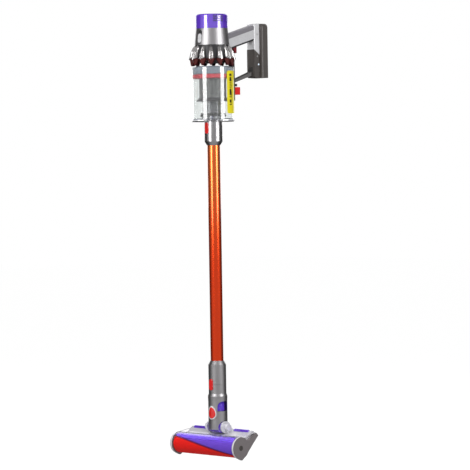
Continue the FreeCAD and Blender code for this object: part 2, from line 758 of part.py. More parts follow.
def tilted(shape):
    # Moves a piece drawn in the flat head's own frame to where the head hangs.
    shape = shape.copy()
    shape.translate(Vector(0, -pivot_back, pitch_z - pivot_height))
    shape.rotate(Vector(0, 0, pitch_z), Vector(1, 0, 0), head_tilt)
    return shape


def chamber(extra=0.0):
    radius = roller_radius + roller_gap + extra
    return cross_rod(radius, -head_half - 5, head_half + 5, 0, roller_height)


def build_housing():
    outer = roller_radius + roller_gap + window_thickness
    angle = math.radians(window_back)
    lip = (outer * math.cos(angle), roller_height + outer * math.sin(angle))
    angle = math.radians(12)
    shoulder = ((outer + 1) * math.cos(angle), roller_height + (outer + 1) * math.sin(angle))
    corners = [(10, sole_thickness, 0), (head_back, sole_thickness, 2), (head_back, tail_height, 5),
               (pivot_back - 18, saddle_height, 8), (shoulder[0], shoulder[1], 10), (lip[0], lip[1], 0),
               (lip[0] - 6, lip[1] - 6, 0)]
    housing = side_slab(corners, -inner_half, inner_half).cut(chamber())
    barrel_room = barrel_radius + gap + 0.2
    housing = housing.cut(cross_rod(barrel_room, -boss_inner, boss_inner, pivot_back, pivot_height))
    sweep = cross_rod(neck_round + 0.7, -boss_inner, boss_inner, pivot_back, pivot_height)
    rear = block(-boss_inner, boss_inner, pivot_back - 8, pivot_back + 60, -10, 80)
    above = block(-boss_inner, boss_inner, 0, pivot_back, saddle_height + 2, 80)
    housing = housing.cut(sweep.common(rear)).cut(sweep.common(above))
    duct = block(-17, 17, 15, pivot_back - 8, sole_thickness + 5, saddle_height - 7)
    housing = housing.cut(duct)
    for side in (-1, 1):
        housing = housing.cut(wheel_space(side))
    nodes["head_housing"] = tilted(housing)
    return housing


def wheel_space(side):
    centre = side * wheel_place
    half = wheel_width / 2 + 0.6
    y = head_back - wheel_radius - 4
    z = wheel_radius - 0.5
    room = wheel_radius + 0.8
    pocket = block(centre - half, centre + half, y - room, y + room, -1, z + room)
    axle = cross_rod(wheel_axle + run_fit, centre - half - 3, centre + half + 3, y, z)
    return join(pocket, axle)


def build_wheels():
    y = head_back - wheel_radius - 4
    z = wheel_radius - 0.5
    wheels = []
    for side in (-1, 1):
        centre = side * wheel_place
        wheel = cross_rod(wheel_radius, centre - wheel_width / 2, centre + wheel_width / 2, y, z)
        axle = cross_rod(wheel_axle, centre - wheel_width / 2 - 3, centre + wheel_width / 2 + 3, y, z)
        wheels.append(join(wheel, axle))
    nodes["rear_wheels"] = tilted(Part.makeCompound(wheels))


def build_window():
    inner = roller_radius + roller_gap
    shell = cross_rod(inner + window_thickness, -inner_half, inner_half, 0, roller_height).cut(chamber())
    keep = []
    reach = 80
    for degrees in (window_back, window_front):
        keep.append(math.radians(degrees))
    points = [(0, roller_height, 0)]
    points += [(reach * math.cos(a), roller_height + reach * math.sin(a), 0) for a in keep]
    wedge = side_slab(points, -inner_half - 1, inner_half + 1)
    nodes["head_window"] = tilted(shell.common(wedge))


def cap_outline(left, right):
    disc = cross_rod(cap_disc, left, right, 0, roller_height)
    tail = side_slab([(-cap_toe, 0, 5), (head_back, 0, 2), (head_back, cap_tail, 4), (28, 22, 14),
                      (15, 45, 0), (-5, roller_height, 0), (-cap_disc + 1.5, roller_height - 8, 4)],
                     left, right)
    return join(disc, tail)


def build_caps():
    right = cap_outline(inner_half, head_half)
    left = cap_outline(-head_half, -inner_half)
    recess = cross_rod(lock_radius + gap, head_half - lock_thickness, head_half + 1, 0, roller_height)
    axle = cross_rod(spigot_axle, inner_half - 22, inner_half + 1, 0, roller_height)
    nodes["cap_right"] = tilted(join(right.cut(recess), axle))
    nodes["cap_left"] = tilted(left)
    lock = cross_rod(lock_radius, head_half - lock_thickness + 0.1, head_half, 0, roller_height)
    slot = block(head_half - 1, head_half + 1, -5, 5, roller_height - 0.9, roller_height + 0.9)
    nodes["cap_lock"] = tilted(lock.cut(slot))
    motor = cross_rod(head_motor_radius, -inner_half + 2, -8, 0, roller_height)
    boss = cross_rod(head_motor_radius - 5, -inner_half, -inner_half + 2.5, 0, roller_height)
    nodes["head_motor"] = tilted(join(motor, boss))


def build_sole():
    sole = block(-inner_half, inner_half, 10, head_back, 0, sole_thickness)
    sole = sole.cut(chamber())
    for side in (-1, 1):
        sole = sole.cut(wheel_space(side))
    nodes["sole_plate"] = tilted(sole)


def build_roller():
    end = inner_half - 1.2
    sleeve = cross_rod(roller_radius, -end, end, 0, roller_height)
    sleeve = sleeve.cut(cross_rod(core_radius, -head_half, head_half, 0, roller_height))
    nodes["roller_sleeve"] = tilted(sleeve)
    core = cross_rod(core_radius, -end, end, 0, roller_height)
    core = core.cut(cross_rod(core_radius - core_wall, -head_half, head_half, 0, roller_height))
    plug = cross_rod(core_radius - core_wall + 0.5, end - 14, end - 2, 0, roller_height)
    plug = plug.cut(cross_rod(spigot_axle + run_fit, -head_half, head_half, 0, roller_height))
    drive = cross_rod(core_radius - core_wall + 0.5, -5, 4, 0, roller_height)
    nodes["roller_core"] = tilted(join(core, plug, drive))


def build_yoke(housing):
    yokes = []
    pins = []
    for side in (-1, 1):
        left, right = sorted((side * boss_inner, side * boss_outer))
        boss = cross_rod(boss_radius, left, right, pivot_back, pivot_height)
        left, right = sorted((side * boss_inner, side * (boss_inner + yoke_thickness)))
        plate = cross_rod(yoke_radius, left, right, pivot_back, pivot_height)
        left, right = sorted((side * boss_inner, side * (boss_outer - 4)))
        foot = tail_height - 6
        arm = side_slab([(pivot_back - boss_radius - 4, foot, 0), (head_back, foot, 0),
                         (pivot_back + boss_radius - 1, pivot_height, 0),
                         (pivot_back - boss_radius + 1, pivot_height, 0)], left, right)
        pin_left, pin_right = sorted((side * (barrel_half - 3), side * (boss_outer - 3)))
        pin = cross_rod(pin_radius, pin_left, pin_right, pivot_back, pivot_height)
        yokes.append(join(boss, plate, arm).cut(housing).cut(pin))
        pins.append(tilted(pin))
    nodes["neck_yoke"] = tilted(Part.makeCompound(yokes))
    nodes["pitch_pins"] = Part.makeCompound(pins)


def build_head():
    housing = build_housing()
    build_window()
    build_caps()
    build_sole()
    build_roller()
    build_yoke(housing)
    build_wheels()


def build_all():
    recess, plate, knob = slider_parts()
    nodes["motor_housing"] = build_motor_housing(recess)
    nodes["slider_track"] = plate
    nodes["mode_slider"] = knob
    build_filter()
    build_motor()
    build_cyclones()
    build_bin_inside()
    build_bin()
    build_bin_base()
    build_wand()
    build_cuff()
    build_lower_neck()
    build_rail()
    build_grip()
    build_column_and_battery()
    build_strut()
    build_screws()
    build_head()


build_all()
for name, shape in nodes.items():
    placed = shape.copy()
    placed.translate(Vector(0, -battery_back, -dock_z))
    placed.exportStep("parts/" + name + ".step")
    print(name, "solids", len(placed.Solids), "valid", placed.isValid(), "volume", round(placed.Volume))
print("nodes", len(nodes))
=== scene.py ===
import bpy
import bmesh
import math
import numpy as np
from mathutils import Matrix, Vector


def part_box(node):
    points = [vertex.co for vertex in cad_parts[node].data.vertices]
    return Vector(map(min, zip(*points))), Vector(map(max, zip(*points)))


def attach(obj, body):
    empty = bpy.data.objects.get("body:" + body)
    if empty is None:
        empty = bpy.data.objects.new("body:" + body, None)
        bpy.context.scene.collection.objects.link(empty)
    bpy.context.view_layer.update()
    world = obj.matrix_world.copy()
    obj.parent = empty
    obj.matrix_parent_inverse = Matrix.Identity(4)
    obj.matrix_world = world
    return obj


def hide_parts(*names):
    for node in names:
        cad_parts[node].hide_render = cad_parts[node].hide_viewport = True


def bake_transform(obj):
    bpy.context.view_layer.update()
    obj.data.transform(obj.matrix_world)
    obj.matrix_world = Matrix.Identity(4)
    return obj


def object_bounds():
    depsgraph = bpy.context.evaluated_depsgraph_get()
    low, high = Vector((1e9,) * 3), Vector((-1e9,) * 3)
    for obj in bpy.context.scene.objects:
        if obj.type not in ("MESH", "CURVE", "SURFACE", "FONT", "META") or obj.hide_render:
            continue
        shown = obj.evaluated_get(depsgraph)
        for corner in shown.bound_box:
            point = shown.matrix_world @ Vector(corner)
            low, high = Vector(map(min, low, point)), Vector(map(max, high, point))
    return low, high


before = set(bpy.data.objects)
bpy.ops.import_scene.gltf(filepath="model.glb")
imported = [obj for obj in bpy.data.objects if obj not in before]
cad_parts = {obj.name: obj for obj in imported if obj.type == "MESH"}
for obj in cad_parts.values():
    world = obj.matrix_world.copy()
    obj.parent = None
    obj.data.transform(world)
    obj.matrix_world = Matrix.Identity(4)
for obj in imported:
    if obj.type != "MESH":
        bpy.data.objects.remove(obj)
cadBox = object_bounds()
print("frame loaded:", len(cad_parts), "nodes")

mm = 0.001


def span(node):
    # Lowest and highest corner of a CAD node, as arrays in metres.
    low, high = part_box(node)
    return np.array(low), np.array(high)


tubeLow, tubeHigh = span("wand_tube")
axisY = (tubeLow[1] + tubeHigh[1]) / 2


# ---- shared shader groups ----

def addNode(tree, kind, **values):
    # A node with its properties set, and its inputs set where the name ends in an underscore.
    node = tree.nodes.new(kind)
    for key, value in values.items():
        if key.endswith("_"):
            node.inputs[key[:-1].replace("_", " ")].default_value = value
        else:
            setattr(node, key, value)
    return node


def mathNode(tree, operation, first, second, clamp=False):
    # One arithmetic step; each side is a socket or a number.
    node = addNode(tree, "ShaderNodeMath", operation=operation, use_clamp=clamp)
    for place, side in enumerate((first, second)):
        if isinstance(side, (int, float)):
            node.inputs[place].default_value = side
        else:
            tree.links.new(side, node.inputs[place])
    return node.outputs[0]


def newGroup(name, inputs, outputs):
    # An empty shader group with named sockets, with its inner input and output nodes.
    group = bpy.data.node_groups.new(name, "ShaderNodeTree")
    for label, kind in inputs:
        group.interface.new_socket(label, in_out="INPUT", socket_type="NodeSocket" + kind)
    for label, kind in outputs:
        group.interface.new_socket(label, in_out="OUTPUT", socket_type="NodeSocket" + kind)
    return group, group.nodes.new("NodeGroupInput"), group.nodes.new("NodeGroupOutput")


def makeFinishGroup():
    # Colour drifts with broad noise, roughness with both noises, and height is the fine noise.
    group, given, result = newGroup(
        "mouldedFinish",
        [("Vector", "Vector"), ("Color", "Color"), ("Roughness", "Float"), ("Grain Scale", "Float"),
         ("Drift Scale", "Float"), ("Drift", "Float"), ("Spread", "Float")],
        [("Color", "Color"), ("Roughness", "Float"), ("Height", "Float")])
    link = group.links.new
    fine = addNode(group, "ShaderNodeTexNoise", Detail_=2.0, Roughness_=0.6)
    broad = addNode(group, "ShaderNodeTexNoise", Detail_=3.0, Roughness_=0.55)
    for noise, scale in ((fine, "Grain Scale"), (broad, "Drift Scale")):
        link(given.outputs["Vector"], noise.inputs["Vector"])
        link(given.outputs[scale], noise.inputs["Scale"])
    centred = mathNode(group, "SUBTRACT", broad.outputs["Fac"], 0.5)
    gain = mathNode(group, "MULTIPLY", centred, given.outputs["Drift"])
    gain = mathNode(group, "ADD", gain, 1.0)
    tint = addNode(group, "ShaderNodeVectorMath", operation="SCALE")
    link(given.outputs["Color"], tint.inputs[0])
    link(gain, tint.inputs["Scale"])
    link(tint.outputs[0], result.inputs["Color"])
    both = mathNode(group, "ADD", centred, mathNode(group, "SUBTRACT", fine.outputs["Fac"], 0.5))
    rough = mathNode(group, "MULTIPLY", both, given.outputs["Spread"])
    rough = mathNode(group, "ADD", rough, given.outputs["Roughness"], clamp=True)
    link(rough, result.inputs["Roughness"])
    link(fine.outputs["Fac"], result.inputs["Height"])
    return group


def makeScuffGroup():
    # A mask of thin, sparse scratches: stretched noise kept only where it peaks.
    group, given, result = newGroup(
        "fineScuffs", [("Vector", "Vector"), ("Scale", "Float"), ("Amount", "Float")], [("Mask", "Float")])
    link = group.links.new
    stretch = addNode(group, "ShaderNodeMapping")
    stretch.inputs["Scale"].default_value = (1.0, 1.0, 0.12)
    stretch.inputs["Rotation"].default_value = (0.3, 0.5, 0.0)
    link(given.outputs["Vector"], stretch.inputs["Vector"])
    noise = addNode(group, "ShaderNodeTexNoise", Detail_=4.0, Roughness_=0.7)
    link(stretch.outputs["Vector"], noise.inputs["Vector"])
    link(given.outputs["Scale"], noise.inputs["Scale"])
    ramp = addNode(group, "ShaderNodeMapRange", interpolation_type="SMOOTHSTEP", From_Min_=0.62,
                   From_Max_=0.74)
    link(noise.outputs["Fac"], ramp.inputs["Value"])
    link(mathNode(group, "MULTIPLY", ramp.outputs["Result"], given.outputs["Amount"]), result.inputs["Mask"])
    return group


finishGroup = makeFinishGroup()
scuffGroup = makeScuffGroup()


def placeGroup(tree, group, vector, **values):
    # The group as a node of this material, fed with object coordinates.
    node = addNode(tree, "ShaderNodeGroup", node_tree=group)
    tree.links.new(vector, node.inputs["Vector"])
    for key, value in values.items():
        node.inputs[key.replace("_", " ")].default_value = value
    return node


def startMaterial(name, stretch=(1.0, 1.0, 1.0)):
    # A material with its principled shader and object coordinates, stretched by the given scale.
    material = bpy.data.materials.new(name)
    material.use_nodes = True
    tree = material.node_tree
    tree.nodes.clear()
    output = addNode(tree, "ShaderNodeOutputMaterial")
    shader = addNode(tree, "ShaderNodeBsdfPrincipled")
    tree.links.new(shader.outputs["BSDF"], output.inputs["Surface"])
    coordinates = addNode(tree, "ShaderNodeTexCoord")
    mapping = addNode(tree, "ShaderNodeMapping")
    mapping.inputs["Scale"].default_value = stretch
    tree.links.new(coordinates.outputs["Object"], mapping.inputs["Vector"])
    return material, tree, shader, mapping.outputs["Vector"], output


def addBump(tree, shader, height, strength, distance):
    # Turns a height into the shader's normal.
    bump = addNode(tree, "ShaderNodeBump", Strength_=strength, Distance_=distance)
    tree.links.new(height, bump.inputs["Height"])
    tree.links.new(bump.outputs["Normal"], shader.inputs["Normal"])


def mixShaders(tree, mask, first, second):
    # The first shader where the mask is zero, the second where it is one.
    mix = addNode(tree, "ShaderNodeMixShader")
    tree.links.new(mask, mix.inputs["Fac"])
    tree.links.new(first, mix.inputs[1])
    tree.links.new(second, mix.inputs[2])
    return mix.outputs["Shader"]


# ---- finishes ----

def finish(name, color, roughness, metallic=0.0, coat=0.0, coatRoughness=0.05, ior=1.5, grain=900.0,
           drift=0.08, driftScale=14.0, spread=0.08, bump=0.15, stretch=(1.0, 1.0, 1.0), scuffs=0.0,
           sheen=0.0, coatIor=1.6):
    # A moulded or metal finish: drifting colour, grain in the normal, and scuffs that roughen it.
    material, tree, shader, vector, _ = startMaterial(name, stretch)
    body = placeGroup(tree, finishGroup, vector, Color=(*color, 1.0), Roughness=roughness, Grain_Scale=grain,
                      Drift_Scale=driftScale, Drift=drift, Spread=spread)
    tree.links.new(body.outputs["Color"], shader.inputs["Base Color"])
    rough = body.outputs["Roughness"]
    if scuffs:
        marks = placeGroup(tree, scuffGroup, vector, Scale=60.0, Amount=scuffs)
        rough = mathNode(tree, "ADD", rough, marks.outputs["Mask"], clamp=True)
    tree.links.new(rough, shader.inputs["Roughness"])
    shader.inputs["Metallic"].default_value = metallic
    shader.inputs["Coat Weight"].default_value = coat
    shader.inputs["Coat Roughness"].default_value = coatRoughness
    shader.inputs["Coat IOR"].default_value = coatIor
    shader.inputs["IOR"].default_value = ior
    shader.inputs["Sheen Weight"].default_value = sheen
    if bump:
        addBump(tree, shader, body.outputs["Height"], bump, 0.0002)
    return material


def clearFinish(name, color, roughness, ior=1.49, passed=0.92, drift=0.02):
    # Clear plastic; lamps pass through it, so that what it covers is lit.
    material, tree, shader, vector, output = startMaterial(name)
    body = placeGroup(tree, finishGroup, vector, Color=(*color, 1.0), Roughness=roughness, Grain_Scale=300.0,
                      Drift_Scale=8.0, Drift=drift, Spread=0.004)
    tree.links.new(body.outputs["Color"], shader.inputs["Base Color"])
    tree.links.new(body.outputs["Roughness"], shader.inputs["Roughness"])
    shader.inputs["Transmission Weight"].default_value = 1.0
    shader.inputs["IOR"].default_value = ior
    see = addNode(tree, "ShaderNodeBsdfTransparent")
    see.inputs["Color"].default_value = (passed, passed, passed, 1.0)
    path = addNode(tree, "ShaderNodeLightPath")
    mixed = mixShaders(tree, path.outputs["Is Shadow Ray"], shader.outputs["BSDF"], see.outputs["BSDF"])
    tree.links.new(mixed, output.inputs["Surface"])
    return material


def perforatedFinish(name, color, hole, pitch, roughness):
    # Metal with round holes: dark where the nearest cell centre is closer than the hole's radius; the holes
    # are only painted, and their dark is painted shade.
    material, tree, shader, vector, _ = startMaterial(name)
    cells = addNode(tree, "ShaderNodeTexVoronoi", Scale_=1.0 / pitch, Randomness_=0.15)
    tree.links.new(vector, cells.inputs["Vector"])
    mask = addNode(tree, "ShaderNodeMapRange", interpolation_type="SMOOTHSTEP", From_Min_=hole,
                   From_Max_=hole + 0.08)
    tree.links.new(cells.outputs["Distance"], mask.inputs["Value"])
    mix = addNode(tree, "ShaderNodeMix", data_type="RGBA")
    # The holes' near-black is painted shade of the hollow behind them.
    mix.inputs["A"].default_value = (0.03, 0.03, 0.03, 1.0)
    mix.inputs["B"].default_value = (*color, 1.0)
    tree.links.new(mask.outputs["Result"], mix.inputs["Factor"])
    tree.links.new(mix.outputs["Result"], shader.inputs["Base Color"])
    shader.inputs["Roughness"].default_value = roughness
    shader.inputs["Metallic"].default_value = 0.4
    addBump(tree, shader, mask.outputs["Result"], 0.6, 0.0003)
    return material


finishes = {
    "nickel": finish("satinNickel", (0.43, 0.42, 0.43), 0.27, metallic=1.0, coat=0.25, drift=0.10,
                     driftScale=20.0, grain=2500.0, bump=0.02, spread=0.04, scuffs=0.05),
    "purple_gloss": finish("purpleGloss", (0.15, 0.045, 0.72), 0.14, metallic=0.2, coat=1.0, coatIor=2.1,
                           grain=700.0, bump=0.05),
    "filter_media": finish("filterCloth", (0.72, 0.72, 0.70), 0.9, grain=1500.0, bump=0.8, drift=0.2,
                           sheen=0.3),
    "dark_plastic": finish("darkPlastic", (0.022, 0.021, 0.024), 0.42, grain=1600.0, bump=0.3, drift=0.3,
                           scuffs=0.15),
    "motor_metal": finish("machinedMetal", (0.55, 0.55, 0.56), 0.3, metallic=1.0, stretch=(1.0, 1.0, 8.0),
                          grain=600.0, bump=0.3, drift=0.15),
    "rubber": finish("blackRubber", (0.016, 0.016, 0.018), 0.65, grain=1200.0, bump=0.4, drift=0.3),
    "board_green": finish("boardGreen", (0.01, 0.09, 0.035), 0.35, grain=300.0, bump=0.2, drift=0.4,
                          driftScale=80.0),
    "cone_copper": finish("coneCopper", (0.12, 0.007, 0.005), 0.2, metallic=0.5, coat=0.5, drift=0.25,
                          driftScale=60.0),
    "collar_grey": finish("collarGrey", (0.125, 0.15, 0.19), 0.25, coat=0.5, drift=0.1),
    "seal_red": finish("sealRed", (0.40, 0.001, 0.018), 0.5, grain=800.0, bump=0.2, drift=0.15),
    "duct_grey": finish("ductGrey", (0.075, 0.075, 0.085), 0.28, coat=0.4, drift=0.12),
    "pad_grey": finish("softGrip", (0.19, 0.18, 0.20), 0.5, grain=2600.0, bump=0.5, drift=0.12, sheen=0.25),
    "silver_plastic": finish("silverPlastic", (0.68, 0.68, 0.70), 0.26, metallic=0.1, coat=0.5, grain=1800.0,
                             bump=0.08),
    "battery_brown": finish("batteryBrown", (0.085, 0.075, 0.070), 0.38, grain=1400.0, bump=0.35, drift=0.2,
                            scuffs=0.12),
    "cell_wrap": finish("cellWrap", (0.03, 0.16, 0.33), 0.3, grain=500.0, drift=0.1),
    "red_gloss": finish("redGloss", (0.86, 0.009, 0.008), 0.2, coat=1.0, bump=0.05),
    "trigger_red": finish("triggerRed", (0.26, 0.012, 0.022), 0.22, coat=0.9, bump=0.08),
    "copper_metal": finish("copperTube", (0.86, 0.125, 0.005), 0.2, metallic=0.5, coat=0.6, coatIor=1.5,
                           stretch=(1.0, 1.0, 0.02), grain=200.0, bump=0.0, driftScale=30.0, spread=0.02),
    "hose_purple": finish("hosePurple", (0.17, 0.065, 0.85), 0.34, coat=0.3, grain=1200.0, bump=0.3,
                          drift=0.2),
    "head_pale": finish("paleShell", (0.60, 0.59, 0.64), 0.16, coat=0.9, grain=500.0, bump=0.04, drift=0.06),
    "cap_grey": finish("warmGrey", (0.22, 0.195, 0.20), 0.42, coat=0.15, grain=1700.0, bump=0.3, drift=0.12,
                       scuffs=0.15),
    "clear": clearFinish("clearBin", (0.89, 0.91, 0.905), 0.012, ior=1.7),
    "mesh_grey": perforatedFinish("perforatedSteel", (0.095, 0.098, 0.098), 0.32, 0.0016, 0.35),
    "nap": finish("napGuess", (0.3, 0.05, 0.2), 0.9),
}

# Variants for single nodes and for pieces made here.
variants = {
    "lavenderClear": clearFinish("lavenderClear", (0.86, 0.84, 0.97), 0.05, ior=1.3, passed=0.85),
    "smokyClear": clearFinish("smokyClear", (0.80, 0.81, 0.83), 0.03, passed=0.8),
    "brushedNickel": finish("brushedNickel", (0.40, 0.39, 0.40), 0.42, metallic=1.0, coat=0.15,
                            stretch=(1.0, 1.0, 0.2), grain=2500.0, bump=0.06, drift=0.12,
                            driftScale=24.0, spread=0.06),
    "ribNickel": finish("ribNickel", (0.58, 0.56, 0.56), 0.16, metallic=1.0, coat=0.4, grain=2000.0,
                        bump=0.01, spread=0.02, drift=0.05),
    "paleRim": finish("paleRim", (0.82, 0.81, 0.84), 0.2, coat=0.8, grain=800.0, bump=0.04, drift=0.05),
    "milkyClear": finish("milkyClear", (0.74, 0.73, 0.79), 0.14, coat=0.9, grain=600.0, bump=0.03),
    # A lighter copy of the silver plastic for the column shell; its extra lightness is a painted highlight.
    "paintedHighlightSilver": finish("paintedHighlightSilver", (0.80, 0.80, 0.82), 0.22, metallic=0.1, coat=0.6,
                           grain=1800.0, bump=0.06),
    "darkClear": clearFinish("darkClear", (0.42, 0.43, 0.45), 0.05, passed=0.6),
}
nodeVariants = {
    "head_window": "lavenderClear", "bin_rim": "smokyClear", "bin_flap": "smokyClear",
    "flap_seal": "darkClear", "motor_housing": "brushedNickel", "head_cuff": "brushedNickel",
    "lower_neck": "brushedNickel", "wand_collar_bottom": "brushedNickel", "neck_yoke": "milkyClear",
    "column_shell": "paintedHighlightSilver", "handle_strut": "ribNickel",
}
otherSlots = {"grip_arm": "silver_plastic", "cap_lock": "battery_brown"}

for name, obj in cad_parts.items():
    slotName = obj.data.materials[0].name if obj.data.materials else "nickel"
    material = finishes[otherSlots.get(name, slotName.split(".")[0])]
    obj.data.materials.clear()
    obj.data.materials.append(variants[nodeVariants[name]] if name in nodeVariants else material)
print("finishes set on", len(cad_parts), "nodes")


# ---- mesh helpers ----

def makePiece(name, sheets, body, material, sharp=35.0):
    # Joins grids of points into one mesh; each sheet is (points, closed across, closed along, ends capped).
    verts, faces, coords = [], [], []
    start = 0
    for points, across, along, capped in sheets:
        rows, cols = points.shape[:2]
        index = start + np.arange(rows * cols).reshape(rows, cols)
        rowEnd = rows if along else rows - 1
        colEnd = cols if across else cols - 1
        i, j = np.meshgrid(np.arange(rowEnd), np.arange(colEnd), indexing="ij")
        i, j = i.ravel(), j.ravel()
        i2, j2 = (i + 1) % rows, (j + 1) % cols
        faces += np.stack([index[i, j], index[i, j2], index[i2, j2], index[i2, j]], 1).tolist()
        corner = np.stack([np.stack([j, i], 1), np.stack([j + 1, i], 1), np.stack([j + 1, i + 1], 1),
                           np.stack([j, i + 1], 1)], 1).astype(float)
        corner[..., 0] /= colEnd
        corner[..., 1] /= rowEnd
        coords.append(corner.reshape(-1, 2))
        if capped:
            faces.append(index[0, ::-1].tolist())
            faces.append(index[-1].tolist())
            coords.append(np.zeros((cols, 2)))
            coords.append(np.ones((cols, 2)))
        verts.append(points.reshape(-1, 3))
        start += rows * cols
    mesh = bpy.data.meshes.new(name)
    mesh.from_pydata(np.concatenate(verts).tolist(), [], faces)
    layer = mesh.uv_layers.new(name="surface")
    layer.data.foreach_set("uv", np.concatenate(coords).ravel())
    work = bmesh.new()
    work.from_mesh(mesh)
    bmesh.ops.remove_doubles(work, verts=work.verts, dist=1e-7)
    bmesh.ops.recalc_face_normals(work, faces=work.faces)
    work.to_mesh(mesh)
    work.free()
    mesh.polygons.foreach_set("use_smooth", np.ones(len(mesh.polygons), bool))
    mesh.set_sharp_from_angle(angle=math.radians(sharp))
    obj = bpy.data.objects.new(name, mesh)
    bpy.context.scene.collection.objects.link(obj)
    mesh.materials.append(material)
    if body:
        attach(obj, body)
    return obj


def turnedGrid(profile, centre, segments=96):
    # A profile of (radius, height) carried round a vertical axis: x = r cos a, y = r sin a.
    radius, height = np.array(profile, float).T
    angle = np.linspace(0, 2 * math.pi, segments, endpoint=False)
    x = centre[0] + np.outer(radius, np.cos(angle))
    y = centre[1] + np.outer(radius, np.sin(angle))
    z = np.repeat(height[:, None], segments, 1)
    return np.stack([x, y, z], 2)


def roundedProfile(corners, steps=5):
    # A polyline of (a, b, radius) with each inner corner swept by a quadratic curve.
    result = []
    count = len(corners)
    for k, (a, b, radius) in enumerate(corners):
        here = np.array([a, b], float)
        if radius == 0 or k in (0, count - 1):
            result.append(here)
            continue
        before = np.array(corners[k - 1][:2], float) - here
        after = np.array(corners[k + 1][:2], float) - here
        start = here + before / np.linalg.norm(before) * radius
        end = here + after / np.linalg.norm(after) * radius
        t = np.linspace(0, 1, steps + 1)[:, None]
        result.extend((1 - t) ** 2 * start + 2 * t * (1 - t) * here + t ** 2 * end)
    return np.array(result)


def raised(corners, base):
    # Corners of (radius, height, rounding) in millimetres as metres, heights counted from a base.
    return [(radius * mm, base + height * mm, rounding * mm) for radius, height, rounding in corners]


def ringCorners(inner, outer, bottom, top, rounding):
    # The corners of a ring's section, rounded on the outside.
    return [(inner, bottom, 0), (outer, bottom, rounding), (outer, top, rounding), (inner, top, 0)]


def turnedPiece(name, corners, body, material, segments=128):
    # A closed section with rounded corners, turned about the wand's axis.
    sheet = (turnedGrid(roundedProfile(corners), (0, axisY), segments), True, True, False)
    return makePiece(name, [sheet], body, material, 40)


# ---- neck hose ----

hoseSettings = {"ribs": 9, "rowsPerRib": 10, "ribDepth": 1.7 * mm, "ribPower": 0.6, "wall": 1.6 * mm}


def buildHose():
    # A bellows: the radius dips and swells with a power of the sine, once for each rib along the hose.
    s = hoseSettings
    low, high = span("neck_hose")
    outer = (high[0] - low[0]) / 2
    height = np.linspace(low[2], high[2], s["ribs"] * s["rowsPerRib"] + 1)
    share = (height - low[2]) / (high[2] - low[2])
    wave = np.abs(np.sin(share * s["ribs"] * math.pi)) ** s["ribPower"]
    radius = outer - s["ribDepth"] * (1 - wave)
    outside = np.stack([radius, height], 1)
    inside = np.stack([radius - s["wall"], height], 1)[::-1]
    grid = turnedGrid(np.concatenate([outside, inside]), (0, axisY))
    hose = makePiece("neckBellows", [(grid, True, True, False)], None, finishes["hose_purple"],
                     60)
    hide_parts("neck_hose")
    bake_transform(hose)


buildHose()
print("neck hose made")


# ---- roller ----

rollerSettings = {"bandStart": 50.0, "bandEnd": -44.0, "redWidth": 152.0, "edgeWidth": 9.0,
                  "rows": 240, "cols": 168, "tuft": 0.35 * mm, "ridge": 0.5 * mm, "seed": 7,
                  "endDrop": 3 * mm, "endLength": 4 * mm}
bandColors = {"red": (0.95, 0.012, 0.008, 1.0), "purple": (0.17, 0.07, 0.66, 1.0),
              "edge": (0.07, 0.003, 0.02, 1.0)}


def napMaterial():
    # Nap with colour read from the band attribute, broken up by fibre noise that runs round the roller.
    material, tree, shader, vector, _ = startMaterial("wovenNap", (1.0, 0.35, 0.35))
    link = tree.links.new
    band = addNode(tree, "ShaderNodeAttribute", attribute_name="band")
    noise = addNode(tree, "ShaderNodeTexNoise", Scale_=1400.0, Detail_=3.0)
    link(vector, noise.inputs["Vector"])
    tint = addNode(tree, "ShaderNodeMapRange", From_Min_=0.25, From_Max_=0.75, To_Min_=0.72, To_Max_=1.15)
    link(noise.outputs["Fac"], tint.inputs["Value"])
    scaled = addNode(tree, "ShaderNodeVectorMath", operation="SCALE")
    link(band.outputs["Color"], scaled.inputs[0])
    link(tint.outputs["Result"], scaled.inputs["Scale"])
    link(scaled.outputs[0], shader.inputs["Base Color"])
    shader.inputs["Roughness"].default_value = 0.62
    shader.inputs["Sheen Weight"].default_value = 0.03
    shader.inputs["Specular IOR Level"].default_value = 0.12
    addBump(tree, shader, noise.outputs["Fac"], 0.5, 0.0006)
    return material


def bandPlace(share, turn):
    # Degrees past the band's edge, which turns steadily along the roller, and degrees to the nearest edge.
    s = rollerSettings
    edge = np.radians(s["bandStart"] + (s["bandEnd"] - s["bandStart"]) * share)
    away = np.degrees((edge - turn) % (2 * math.pi))
    return away, np.minimum(np.minimum(away, 360 - away), np.abs(away - s["redWidth"]))


